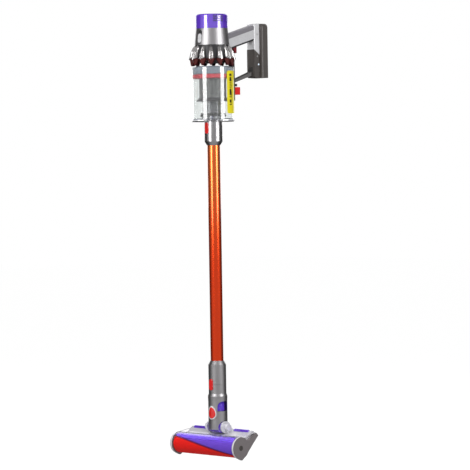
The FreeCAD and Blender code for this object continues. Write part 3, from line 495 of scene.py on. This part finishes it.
def buildRoller():
    # A cylinder along X: its radius loses a random tuft, dips at the bands' edges and drops at both ends.
    s = rollerSettings
    low, high = span("roller_sleeve")
    centre = (low + high) / 2
    outer = (high[2] - low[2]) / 2
    coreLow, coreHigh = span("roller_core")
    inner = (coreHigh[2] - coreLow[2]) / 2
    x = np.linspace(low[0], high[0], s["rows"])
    angle = np.linspace(0, 2 * math.pi, s["cols"], endpoint=False)
    grid, turn = np.meshgrid(x, angle, indexing="ij")
    share = (grid - low[0]) / (high[0] - low[0])
    soft = np.clip(bandPlace(share, turn)[1] / s["edgeWidth"], 0, 1)
    soft = soft * soft * (3 - 2 * soft)
    rng = np.random.default_rng(s["seed"])
    fuzz = rng.random(grid.shape) * s["tuft"]
    radius = outer - fuzz - s["ridge"] * (1 - soft)
    ends = np.minimum(share, 1 - share) * (high[0] - low[0])
    radius = radius - s["endDrop"] * np.clip(1 - ends / s["endLength"], 0, 1) ** 2
    points = np.stack([grid, centre[1] - radius * np.cos(turn), centre[2] + radius * np.sin(turn)], 2)
    bore = np.stack([grid, centre[1] - inner * np.cos(turn), centre[2] + inner * np.sin(turn)], 2)
    loop = np.concatenate([points, bore[[-1, 0]]])
    obj = makePiece("rollerNap", [(loop, True, True, False)], "roller", napMaterial(), 60)
    place = np.array([v.co for v in obj.data.vertices])
    turn = np.arctan2(place[:, 2] - centre[2], centre[1] - place[:, 1])
    away, fromEdge = bandPlace((place[:, 0] - low[0]) / (high[0] - low[0]), turn)
    base = np.where((away < s["redWidth"])[:, None], bandColors["red"], bandColors["purple"])
    mix = np.clip(fromEdge / s["edgeWidth"], 0, 1)[:, None]
    colors = np.array(bandColors["edge"]) * (1 - mix) + base * mix
    layer = obj.data.attributes.new("band", "FLOAT_COLOR", "POINT")
    layer.data.foreach_set("color", colors.astype(np.float32).ravel())
    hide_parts("roller_sleeve")


buildRoller()
print("roller made")


# ---- bin label ----

labelSettings = {"firstTurn": -2.0, "lastTurn": 61.0, "low": 13.0 * mm, "high": 129.5 * mm,
                 "gap": 0.02 * mm, "proud": 0.25 * mm, "corner": 5 * mm, "markCells": (14.0, 40.0, 1.0),
                 "markLevel": 0.45, "marksAcross": (0.075, 0.155), "marksAlong": (0.2, 0.93)}


def between(tree, value, limits):
    # A mask that is one where the value lies between two limits.
    above = mathNode(tree, "GREATER_THAN", value, limits[0])
    return mathNode(tree, "MULTIPLY", above, mathNode(tree, "LESS_THAN", value, limits[1]))


def labelMaterial():
    # Yellow film with a column of short dark marks: random cells over a level, kept in a narrow range.
    s = labelSettings
    material, tree, shader, vector, _ = startMaterial("yellowLabel")
    link = tree.links.new
    body = placeGroup(tree, finishGroup, vector, Color=(0.97, 0.83, 0.01, 1.0), Roughness=0.3,
                      Grain_Scale=900.0, Drift_Scale=20.0, Drift=0.05, Spread=0.05)
    uv = addNode(tree, "ShaderNodeTexCoord").outputs["UV"]
    split = addNode(tree, "ShaderNodeSeparateXYZ")
    link(uv, split.inputs["Vector"])
    mapping = addNode(tree, "ShaderNodeMapping")
    mapping.inputs["Scale"].default_value = s["markCells"]
    link(uv, mapping.inputs["Vector"])
    cells = addNode(tree, "ShaderNodeTexWhiteNoise", noise_dimensions="2D")
    snap = addNode(tree, "ShaderNodeVectorMath", operation="FLOOR")
    link(mapping.outputs["Vector"], snap.inputs[0])
    link(snap.outputs[0], cells.inputs["Vector"])
    marks = mathNode(tree, "GREATER_THAN", cells.outputs["Value"], s["markLevel"])
    inside = mathNode(tree, "MULTIPLY", between(tree, split.outputs["X"], s["marksAcross"]),
                      between(tree, split.outputs["Y"], s["marksAlong"]))
    mask = mathNode(tree, "MULTIPLY", marks, inside)
    mix = addNode(tree, "ShaderNodeMix", data_type="RGBA")
    mix.inputs["B"].default_value = (0.05, 0.04, 0.01, 1.0)
    link(mask, mix.inputs["Factor"])
    link(body.outputs["Color"], mix.inputs["A"])
    link(mix.outputs["Result"], shader.inputs["Base Color"])
    link(body.outputs["Roughness"], shader.inputs["Roughness"])
    shader.inputs["Coat Weight"].default_value = 0.2
    return material


def curvedStrip(centre, radius, first, last, low, high, thickness, corner, rows=40, cols=24):
    # A thin strip wrapped on a cylinder, with rounded corners: width shrinks near its two ends.
    z = np.linspace(low, high, rows)
    reach = np.minimum(z - low, high - z)
    cut = np.where(reach < corner, corner - np.sqrt(np.maximum(corner ** 2 - (corner - reach) ** 2, 0)), 0)
    first = math.radians(first) + cut / radius
    last = math.radians(last) - cut / radius
    share = np.linspace(0, 1, cols)
    angle = first[:, None] + (last - first)[:, None] * share[None, :]
    sheets = []
    for r in (radius + thickness, radius):
        sheets.append(np.stack([centre[0] + r * np.cos(angle), centre[1] + r * np.sin(angle),
                                np.repeat(z[:, None], cols, 1)], 2))
    return np.concatenate([sheets[0], sheets[1][:, ::-1]], 1)


def buildLabel():
    # A film wrapped on the bin's wall, between two turns and two heights.
    s = labelSettings
    low, high = span("bin_wall")
    radius = (high[0] - low[0]) / 2
    grid = curvedStrip((0, axisY), radius + s["gap"], s["firstTurn"], s["lastTurn"], low[2] + s["low"],
                       low[2] + s["high"], s["proud"], s["corner"])
    makePiece("binLabel", [(grid, True, False, True)], "bin", labelMaterial(), 40)


buildLabel()
print("label made")


# ---- cyclones ----

cycloneSettings = {
    "count": 14, "phase": 4.0, "railPlace": 3, "rows": 26,
    "ridge": [(47.5, 0.0), (54.3, -7.4), (59.8, -18.5), (62.5, -29.7), (65.6, -42.0)],
    "topHalf": 3.4, "lowHalf": 11.0, "widening": 0.75, "topRound": 0.10, "leastRound": 0.25,
    "drop": 9.5, "groove": 4.2, "grooveWidth": 0.26, "edgeRise": 7.5, "wall": 2.2,
    "tipRows": 14, "tipCols": 21, "tipHigh": -38.0, "tipLow": -56.6, "tipHalf": 12.6, "tipPower": 0.8,
    "tipPoint": 1.6, "tipReach": 63.0, "tipLean": 3.5, "tipDrop": 6.0, "tipWall": 3.0,
    "core": [(45.6, 0.0, 0), (47.0, -0.6, 0.4), (47.2, -8.0, 2), (50.0, -30.0, 4), (51.0, -40.0, 3),
             (50.0, -46.0, 2), (47.5, -46.5, 0), (44.0, -46.5, 0), (44.0, -10.0, 0), (43.9, 0.0, 0)],
}


def ribGrid(centre, top, radius, height, half, drop, groove, edgeRise, wall, angle, cols=29):
    # One rib: across it the radius falls with the second and fourth powers, less a bell-shaped groove.
    across = np.linspace(-1, 1, cols)[None, :]
    fall = drop * (0.35 * across ** 2 + 0.65 * across ** 4)
    fall = fall + groove * np.exp(-(across / cycloneSettings["grooveWidth"]) ** 2)
    along = np.linspace(0, 1, len(radius))[:, None] ** 4
    lift = edgeRise * np.abs(across) * along
    sides = []
    for inset in (0.0, wall):
        r = radius[:, None] - fall - inset
        turn = angle + half[:, None] * across / radius[:, None]
        sides.append(np.stack([centre[0] + r * mm * np.cos(turn), centre[1] + r * mm * np.sin(turn),
                               top + (height[:, None] + lift) * mm], 2))
    return np.concatenate([sides[0], sides[1][:, ::-1]], 1)


def buildCyclones():
    # Ribs stand at equal turns but for the rail's place, each over a cone tip, all round one dark core.
    s = cycloneSettings
    top = span("cyclone_cover")[1][2]
    centre = (0.0, axisY)
    share = np.linspace(0, 1, s["rows"])
    ridge = np.array(s["ridge"])
    places = np.linspace(0, 1, len(ridge))
    radius = np.interp(share, places, ridge[:, 0])
    height = np.interp(share, places, ridge[:, 1])
    rounded = np.sqrt(np.clip(1 - (1 - np.clip(share / s["topRound"], 0, 1)) ** 2, 0, 1))
    half = s["topHalf"] + (s["lowHalf"] - s["topHalf"]) * share ** s["widening"]
    half = half * np.maximum(rounded, s["leastRound"])
    tipShare = np.linspace(0, 1, s["tipRows"])
    tipHeight = s["tipHigh"] + (s["tipLow"] - s["tipHigh"]) * tipShare
    tipHalf = s["tipHalf"] * (1 - tipShare) ** s["tipPower"] + s["tipPoint"]
    tipRadius = s["tipReach"] - s["tipLean"] * tipShare
    ribs, tips = [], []
    for k in range(s["count"]):
        if k == s["railPlace"]:
            continue
        angle = math.radians(s["phase"] + k * 360 / s["count"])
        rib = ribGrid(centre, top, radius, height, half, s["drop"], s["groove"], s["edgeRise"], s["wall"],
                      angle)
        tip = ribGrid(centre, top, tipRadius, tipHeight, tipHalf, s["tipDrop"], 0.0, 0.0, s["tipWall"],
                      angle, s["tipCols"])
        ribs.append((rib, True, False, True))
        tips.append((tip, True, False, True))
    cover = makePiece("cycloneRibs", ribs, "main_body", variants["ribNickel"], 50)
    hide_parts("cyclone_cover")
    cones = makePiece("cycloneTips", tips, "main_body", finishes["cone_copper"], 50)
    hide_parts("cyclone_cones")
    turnedPiece("cycloneCore", raised(s["core"], top), "main_body", finishes["dark_plastic"])


buildCyclones()
print("cyclones made")


# ---- seal at the bin's foot ----

sealProfile = [(33.0, 0.1, 0), (35.5, 0.1, 0.8), (35.5, 4.05, 0.8), (33.9, 4.95, 0.4), (34.6, 9.0, 0.5),
               (33.0, 9.0, 0)]


def buildBaseSeal():
    # A soft lipped ring round the duct's foot.
    foot = span("inlet_duct")[0][2]
    turnedPiece("baseSeal", raised(sealProfile, foot), "main_body", finishes["rubber"], 96)


# ---- status lens ----

lensSettings = {"radius": 2.4 * mm, "proud": 0.7 * mm, "sunk": 0.4 * mm, "fromFront": 7.5 * mm,
                "belowMiddle": 38.5 * mm, "cols": 28, "rings": [0.02, 0.3, 0.6, 0.85, 1.0]}


def lensMaterial():
    # A pale lens whose own drifting colour also glows.
    material, tree, shader, vector, _ = startMaterial("statusLens")
    body = placeGroup(tree, finishGroup, vector, Color=(0.75, 0.85, 0.95, 1.0), Roughness=0.2,
                      Grain_Scale=500.0, Drift_Scale=60.0, Drift=0.2, Spread=0.05)
    tree.links.new(body.outputs["Color"], shader.inputs["Base Color"])
    tree.links.new(body.outputs["Color"], shader.inputs["Emission Color"])
    shader.inputs["Emission Strength"].default_value = 0.5
    return material


def buildLens():
    # A shallow dome on the battery's side: its height falls with the square of the distance from its middle.
    s = lensSettings
    low, high = span("battery_case")
    share = np.array(s["rings"])
    rise = s["proud"] * (1 - share ** 2)
    turn = np.linspace(0, 2 * math.pi, s["cols"], endpoint=False)
    y = low[1] + s["fromFront"] + s["radius"] * np.outer(share, np.cos(turn))
    z = (low[2] + high[2]) / 2 - s["belowMiddle"] + s["radius"] * np.outer(share, np.sin(turn))
    x = np.repeat((high[0] + rise)[:, None], s["cols"], 1)
    dome = np.stack([x, y, z], 2)
    foot = dome[-1:].copy()
    foot[..., 0] = high[0] - s["sunk"]
    grid = np.concatenate([dome, foot])
    makePiece("statusLens", [(grid, True, False, True)], "main_body", lensMaterial(), 60)


# ---- rims of the end caps ----

rimSettings = {"width": 5.2 * mm, "inset": 0.9 * mm, "near": 7 * mm, "count": 120, "above": 0.05 * mm,
               "section": [(0.0, -0.6), (0.0, 0.2), (0.1, 0.3), (0.9, 0.3), (1.0, 0.2), (1.0, -0.6)]}


def hullOf(points):
    # The convex outline of flat points, counter-clockwise, by keeping left turns along both sorted sides.
    ordered = sorted(set(map(tuple, np.round(points, 6))))
    halves = []
    for run in (ordered, ordered[::-1]):
        chain = []
        for p in run:
            while len(chain) > 1 and ((chain[-1][0] - chain[-2][0]) * (p[1] - chain[-2][1])
                                      - (chain[-1][1] - chain[-2][1]) * (p[0] - chain[-2][0])) <= 0:
                chain.pop()
            chain.append(p)
        halves += chain[:-1]
    return np.array(halves)


def evenly(outline, count):
    # Points at equal steps along a closed outline.
    closed = np.concatenate([outline, outline[:1]])
    length = np.concatenate([[0], np.cumsum(np.linalg.norm(np.diff(closed, axis=0), axis=1))])
    at = np.linspace(0, length[-1], count, endpoint=False)
    return np.stack([np.interp(at, length, closed[:, 0]), np.interp(at, length, closed[:, 1])], 1)


def buildCapRims():
    # A pale band round each end cap: its outline pushed out from its middle, above the model's foot.
    s = rimSettings
    for node, name, inward in (("cap_right", "rimRight", -1), ("cap_left", "rimLeft", 1)):
        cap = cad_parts[node]
        low, high = span(node)
        outer = high[0] if inward < 0 else low[0]
        place = np.empty(len(cap.data.vertices) * 3)
        cap.data.vertices.foreach_get("co", place)
        turned = np.array(cap.matrix_world.to_3x3()).T
        place = place.reshape(-1, 3) @ turned + np.array(cap.matrix_world.translation)
        near = place[np.abs(place[:, 0] - outer) < s["near"]]
        outline = evenly(hullOf(near[:, 1:]), s["count"])
        out = outline - outline.mean(0)
        out /= np.linalg.norm(out, axis=1)[:, None]
        start = outer + inward * s["inset"]
        rows = []
        for step, push in s["section"]:
            flat = outline + out * push * mm
            flat[:, 1] = np.maximum(flat[:, 1], cadBox[0][2] + s["above"])
            rows.append(np.column_stack([np.full(len(flat), start + inward * step * s["width"]), flat]))
        makePiece(name, [(np.array(rows), True, True, False)], "floor_head", variants["paleRim"],
                  60)


# ---- rear strips of the head ----

stripSettings = {"near": 50 * mm, "far": 108 * mm, "tilt": 45.5, "pivot": (59.3, 35.4), "rows": 24,
                 "rounding": 0.9, "endShare": 0.06, "endSize": 0.55,
                 "section": [(57.5, 20.5), (58.5, 23.6), (61.5, 24.4), (66.2, 23.8), (67.6, 21.6),
                             (67.0, 18.5)]}


def buildRearStrips():
    # Two bars across the head's rear: a flat section turned about the pitch axis, shrinking at its two ends.
    s = stripSettings
    low, high = span("pitch_pins")
    axis = (low[1:] + high[1:]) / 2
    flat = roundedProfile([(a, b, s["rounding"]) for a, b in s["section"]], 4) - np.array(s["pivot"])
    middle = flat.mean(0)
    turn = math.radians(s["tilt"])
    share = np.linspace(0, 1, s["rows"])
    size = np.clip(np.minimum(share, 1 - share) / s["endShare"], 0.0, 1.0)
    size = s["endSize"] + (1 - s["endSize"]) * np.sqrt(1 - (1 - size) ** 2)
    grids = []
    for side in (-1, 1):
        rows = []
        for at, scale in zip(share, size):
            shape = (middle + (flat - middle) * scale) * mm
            y = shape[:, 0] * math.cos(turn) - shape[:, 1] * math.sin(turn)
            z = shape[:, 0] * math.sin(turn) + shape[:, 1] * math.cos(turn)
            x = side * (s["near"] + (s["far"] - s["near"]) * at)
            rows.append(np.column_stack([np.full(len(shape), x), axis[0] + y, axis[1] + z]))
        grids.append((np.array(rows), True, False, True))
    makePiece("rearStrips", grids, "floor_head", finishes["purple_gloss"], 50)


# ---- vents of the filter cap ----

ventSettings = {"count": 4, "first": -40.0, "last": 0.0, "gap": 3.0 * mm, "height": 1.9 * mm,
                "below": 3.5 * mm, "sunk": 0.9 * mm, "thick": 1.0 * mm, "corner": 0.7 * mm,
                "rows": 12, "cols": 20}


def buildVents():
    # Dark slits round the cap, one under the other, each a thin curved strip; their dark is painted shade of
    # the slits' insides.
    low, high = span("filter_cap")
    s = ventSettings
    radius = (high[0] - low[0]) / 2
    grids = []
    for k in range(s["count"]):
        top = high[2] - s["below"] - k * (s["gap"] + s["height"])
        strip = curvedStrip((0, axisY), radius - s["sunk"], s["first"], s["last"], top - s["height"], top,
                            s["thick"], s["corner"], s["rows"], s["cols"])
        grids.append((strip, True, False, True))
    # The dark of these strips is painted shade inside the vent slits.
    makePiece("capVents", grids, "filter", finishes["dark_plastic"], 40)


# ---- pivot cap ----

dropSettings = {
    "radius": 13.0 * mm, "tip": 19.0 * mm, "tipPower": 2.5, "proud": 1.0 * mm, "rim": 2.2 * mm,
    "rimTip": 1.3, "cols": 72, "turned": 4.0,
    "dropLevels": [(1.0, -0.8), (1.0, 0.25), (0.94, 0.75), (0.7, 1.0), (0.4, 1.1), (0.06, 1.15)],
    "rimLevels": [(1.0, -0.8), (1.0, 0.35), (0.95, 0.6), (0.88, 0.6), (0.82, 0.35), (0.82, -0.8)],
}


def dropOutline(radius, tip):
    # A circle whose upper half is drawn out to a tip: each height gains a power of its share of the radius.
    turn = np.linspace(0, 2 * math.pi, dropSettings["cols"], endpoint=False)
    across, up = radius * np.sin(turn), radius * np.cos(turn)
    share = np.maximum(up, 0) / radius
    return across, np.where(up > 0, up + (tip - radius) * share ** dropSettings["tipPower"], up)


def wrapOnNeck(across, up, reach, middle):
    # Flat points on the neck's front: across becomes a turn about the neck, at the given reach.
    turn = math.radians(dropSettings["turned"] - 90) + across / reach
    return np.stack([reach * np.cos(turn), axisY + reach * np.sin(turn), middle + up], -1)


def buildPivotCap():
    # A glossy drop over the lean axis and a pale rim round it, each made of levels wrapped on the neck.
    s = dropSettings
    low, high = span("lean_pins")
    neckLow, neckHigh = span("lower_neck")
    neck = (neckHigh[0] - neckLow[0]) / 2
    middle = (low[2] + high[2]) / 2
    grids = {}
    for name, grow in (("drop", 0.0), ("rim", s["rim"])):
        rows = []
        for scale, rise in s[name + "Levels"]:
            across, up = dropOutline((s["radius"] + grow) * scale, (s["tip"] + grow * s["rimTip"]) * scale)
            rows.append(wrapOnNeck(across, up, neck + rise * s["proud"], middle))
        grids[name] = np.array(rows)
    drop = makePiece("pivotDrop", [(grids["drop"], True, False, True)], "cuff", finishes["red_gloss"],
                     60)
    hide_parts("pivot_cap")
    makePiece("pivotRim", [(grids["rim"], True, True, False)], "cuff", variants["paleRim"], 60)


# ---- wand tube ----

# The head colour is a painted highlight; the tube's own colour is the foot colour.
tubeSettings = {"wall": 1.3 * mm, "rounding": 0.3 * mm, "footColor": (0.98, 0.060, 0.003, 1.0),
                "paintedHeadHighlight": (0.92, 0.18, 0.035, 1.0), "footHeight": -0.62, "headHeight": -0.24}


def tubeMaterial():
    # Anodised red-orange metal; the amber it warms to towards its head, by height, is a painted highlight.
    s = tubeSettings
    material, tree, shader, vector, _ = startMaterial("anodisedTube")
    link = tree.links.new
    split = addNode(tree, "ShaderNodeSeparateXYZ")
    link(vector, split.inputs["Vector"])
    rise = addNode(tree, "ShaderNodeMapRange", interpolation_type="SMOOTHSTEP", From_Min_=s["footHeight"],
                   From_Max_=s["headHeight"])
    link(split.outputs["Z"], rise.inputs["Value"])
    # From the tube's own colour at its foot to the painted highlight at its head.
    mix = addNode(tree, "ShaderNodeMix", data_type="RGBA")
    mix.inputs["A"].default_value = s["footColor"]
    mix.inputs["B"].default_value = s["paintedHeadHighlight"]
    link(rise.outputs["Result"], mix.inputs["Factor"])
    body = placeGroup(tree, finishGroup, vector, Roughness=0.2, Grain_Scale=300.0, Drift_Scale=9.0,
                      Drift=0.06, Spread=0.02)
    link(mix.outputs["Result"], body.inputs["Color"])
    link(body.outputs["Color"], shader.inputs["Base Color"])
    link(body.outputs["Roughness"], shader.inputs["Roughness"])
    shader.inputs["Metallic"].default_value = 0.82
    shader.inputs["Coat Weight"].default_value = 0.35
    shader.inputs["Coat Roughness"].default_value = 0.08
    return material


def buildTube():
    # The wand's tube: one straight wall turned about the axis, with rounded ends.
    s = tubeSettings
    outer = (tubeHigh[0] - tubeLow[0]) / 2
    corners = ringCorners(outer - s["wall"], outer, tubeLow[2], tubeHigh[2], s["rounding"])
    obj = turnedPiece("wandTube", corners, "wand", tubeMaterial())
    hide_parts("wand_tube")


# ---- edge of the flap ----

edgeSettings = {"deep": 3.0 * mm, "inset": 0.1 * mm, "low": -0.9 * mm, "high": 1.3 * mm,
                "rounding": 0.6 * mm}


def buildFlapEdge():
    # A dark bead round the foot of the flap, with heights counted from the rim's foot.
    s = edgeSettings
    low, high = span("bin_flap")
    outer = (high[0] - low[0]) / 2
    base = span("bin_rim")[0][2]
    corners = ringCorners(outer - s["deep"], outer - s["inset"], base + s["low"], base + s["high"],
                          s["rounding"])
    turnedPiece("flapEdge", corners, "bin_base", finishes["rubber"])


# ---- barrel of the neck ----

# Corners of (place along X, radius, rounding) in millimetres.
barrelProfile = [(-25.5, 10.5, 0), (-19.5, 11.0, 1.5), (-17.5, 17.0, 2.0), (17.5, 17.0, 2.0),
                 (19.5, 11.0, 1.5), (25.5, 10.5, 0), (25.5, 4.0, 0), (-25.5, 4.0, 0)]


def buildBarrel():
    # The barrel of the neck's foot, turned about the pitch axis, slimmer where it enters the yoke.
    low, high = span("pitch_barrel")
    middle = (low + high) / 2
    x, radius = (roundedProfile(barrelProfile) * mm).T
    turn = np.linspace(0, 2 * math.pi, 72, endpoint=False)
    grid = np.stack([np.repeat(x[:, None], len(turn), 1), middle[1] + np.outer(radius, np.cos(turn)),
                     middle[2] + np.outer(radius, np.sin(turn))], 2)
    barrel = makePiece("neckBarrel", [(grid, True, True, False)], "lower_neck", finishes["purple_gloss"],
                       40)
    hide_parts("pitch_barrel")


buildBaseSeal()
buildLens()
buildPivotCap()
buildBarrel()
buildTube()
buildFlapEdge()
buildRearStrips()
buildVents()
buildCapRims()
print("trims made")


# ---- stage, camera and light ----

cameraSettings = {"azimuth": 46.0, "distance": 7.0, "height": -0.319, "lens": 195.5, "sensor": 36.0,
                  "far": 100.0, "yaw": 0.447, "pitch": 1.55, "roll": 0.9}


def buildCamera():
    # Looks level at the wand's axis from the azimuth, then turned by yaw, pitch and roll.
    s = cameraSettings
    azimuth = math.radians(s["azimuth"])
    away = Vector((math.sin(azimuth), -math.cos(azimuth), 0))
    data = bpy.data.cameras.new("camera")
    data.lens = s["lens"]
    data.sensor_width = s["sensor"]
    data.clip_end = s["far"]
    camera = bpy.data.objects.new("camera", data)
    bpy.context.scene.collection.objects.link(camera)
    camera.location = Vector((0, axisY, 0)) + away * s["distance"] + Vector((0, 0, s["height"]))
    level = (-away).to_track_quat("-Z", "Y").to_matrix()
    yaw = Matrix.Rotation(-math.radians(s["yaw"]), 3, "Z")
    pitch = Matrix.Rotation(-math.radians(s["pitch"]), 3, "X")
    roll = Matrix.Rotation(-math.radians(s["roll"]), 3, "Z")
    camera.rotation_mode = "QUATERNION"
    camera.rotation_quaternion = (yaw @ level @ pitch @ roll).to_quaternion()
    bpy.context.scene.camera = camera
    return azimuth


lightSettings = {
    "strips": [("stripLeft", -44.5, 1.0), ("stripRight", 54.0, 1.0), ("stripBackLeft", 158.0, 0.25),
               ("stripBackRight", 202.0, 0.25)],
    "stripWidth": 0.85, "stripHeight": 1.7, "stripGlow": 6.5, "distance": 2.2, "height": 0.40,
    "aimLower": 0.1,
    "fills": [("fillFront", 20.0, 1.6, 1.0), ("fillSide", -70.0, 1.2, 0.8), ("fillBack", 160.0, 1.8, 0.8)],
    "fillPower": 50.0, "fillSize": 1.8, "fillDistance": 2.6, "fillAim": -0.5,
}


def addArea(name, place, target, width, height, power, glossy, diffuse):
    # A rectangular lamp that faces its target.
    data = bpy.data.lights.new(name, "AREA")
    data.shape = "RECTANGLE"
    data.size = width
    data.size_y = height
    data.energy = power
    lamp = bpy.data.objects.new(name, data)
    bpy.context.scene.collection.objects.link(lamp)
    lamp.location = place
    lamp.rotation_mode = "QUATERNION"
    lamp.rotation_quaternion = (Vector(target) - Vector(place)).to_track_quat("-Z", "Y")
    lamp.visible_camera = False
    lamp.visible_glossy = glossy
    lamp.visible_diffuse = diffuse


def buildLights(azimuth):
    # Tall strips for highlights on both sides, front and back, and broad soft fills for the shading.
    s = lightSettings
    toward = azimuth - math.pi / 2
    for name, turn, share in s["strips"]:
        angle = toward + math.radians(turn)
        place = (s["distance"] * math.cos(angle), axisY + s["distance"] * math.sin(angle), s["height"])
        power = s["stripGlow"] * share * math.pi * s["stripWidth"] * s["stripHeight"]
        addArea(name, place, (0, axisY, s["height"] - s["aimLower"]), s["stripWidth"], s["stripHeight"],
                power, True, False)
    reach = s["fillDistance"]
    for name, turn, lift, gain in s["fills"]:
        angle = toward + math.radians(turn)
        place = (reach * math.cos(angle), axisY + reach * math.sin(angle), lift)
        addArea(name, place, (0, axisY, s["fillAim"]), s["fillSize"], s["fillSize"], s["fillPower"] * gain,
                False, True)


# Ahead and behind: the facing where the glow starts and where it is full, and its two strengths.
worldSettings = {"shading": 0.5, "seen": 1.0, "ahead": (-0.15, 0.30, 0.05, 0.50),
                 "behind": (-0.93, -0.995, 0.0, 0.04)}


def buildWorld(azimuth):
    # White when seen, even light for shading; for reflections bright ahead and behind, dark at the sides.
    world = bpy.data.worlds.new("studio")
    bpy.context.scene.world = world
    world.use_nodes = True
    tree = world.node_tree
    tree.nodes.clear()
    output = addNode(tree, "ShaderNodeOutputWorld")
    link = tree.links.new
    coordinates = addNode(tree, "ShaderNodeTexCoord")
    dot = addNode(tree, "ShaderNodeVectorMath", operation="DOT_PRODUCT")
    link(coordinates.outputs["Generated"], dot.inputs[0])
    dot.inputs[1].default_value = (math.sin(azimuth), -math.cos(azimuth), 0)
    glows = []
    for first, last, low, high in (worldSettings["ahead"], worldSettings["behind"]):
        glow = addNode(tree, "ShaderNodeMapRange", interpolation_type="SMOOTHSTEP", From_Min_=first,
                       From_Max_=last, To_Min_=low, To_Max_=high)
        link(dot.outputs["Value"], glow.inputs["Value"])
        glows.append(glow.outputs["Result"])
    shades = {}
    for name in ("shading", "seen", "reflected"):
        shade = addNode(tree, "ShaderNodeBackground")
        shade.inputs["Color"].default_value = (1, 1, 1, 1)
        shades[name] = shade
    for name in ("shading", "seen"):
        shades[name].inputs["Strength"].default_value = worldSettings[name]
    link(mathNode(tree, "ADD", glows[0], glows[1]), shades["reflected"].inputs["Strength"])
    path = addNode(tree, "ShaderNodeLightPath")
    clearPath = mathNode(tree, "LESS_THAN", path.outputs["Diffuse Depth"], 0.5)
    clearPath = mathNode(tree, "MULTIPLY", clearPath, path.outputs["Is Transmission Ray"])
    seen = mathNode(tree, "MAXIMUM", path.outputs["Is Camera Ray"], clearPath)
    unseen = mixShaders(tree, path.outputs["Is Glossy Ray"], shades["shading"].outputs[0],
                        shades["reflected"].outputs[0])
    link(mixShaders(tree, seen, unseen, shades["seen"].outputs[0]), output.inputs["Surface"])


floorSettings = {"below": 0.15, "reach": 14.0}


def buildFloor():
    # A wide pale sheet, low enough for the floor head when it is pulled down.
    low = cadBox[0][2] - floorSettings["below"]
    ramp = np.linspace(-floorSettings["reach"], floorSettings["reach"], 3)
    x, y = np.meshgrid(ramp, ramp, indexing="ij")
    grid = np.stack([x, y, np.full_like(x, low)], 2)
    material, tree, shader, vector, _ = startMaterial("paleFloor")
    body = placeGroup(tree, finishGroup, vector, Color=(0.12, 0.12, 0.12, 1.0), Roughness=0.75,
                      Grain_Scale=200.0, Drift_Scale=2.0, Drift=0.01, Spread=0.05)
    tree.links.new(body.outputs["Color"], shader.inputs["Base Color"])
    tree.links.new(body.outputs["Roughness"], shader.inputs["Roughness"])
    shader.inputs["Emission Color"].default_value = (1.0, 1.0, 1.0, 1.0)
    shader.inputs["Emission Strength"].default_value = 0.93
    floor = makePiece("floor", [(grid, False, False, False)], None, material)
    floor.visible_glossy = False
    floor.visible_diffuse = False


cameraAzimuth = buildCamera()
buildLights(cameraAzimuth)
buildWorld(cameraAzimuth)
buildFloor()
bpy.context.scene.view_settings.view_transform = "Standard"
print("camera, light and floor made")
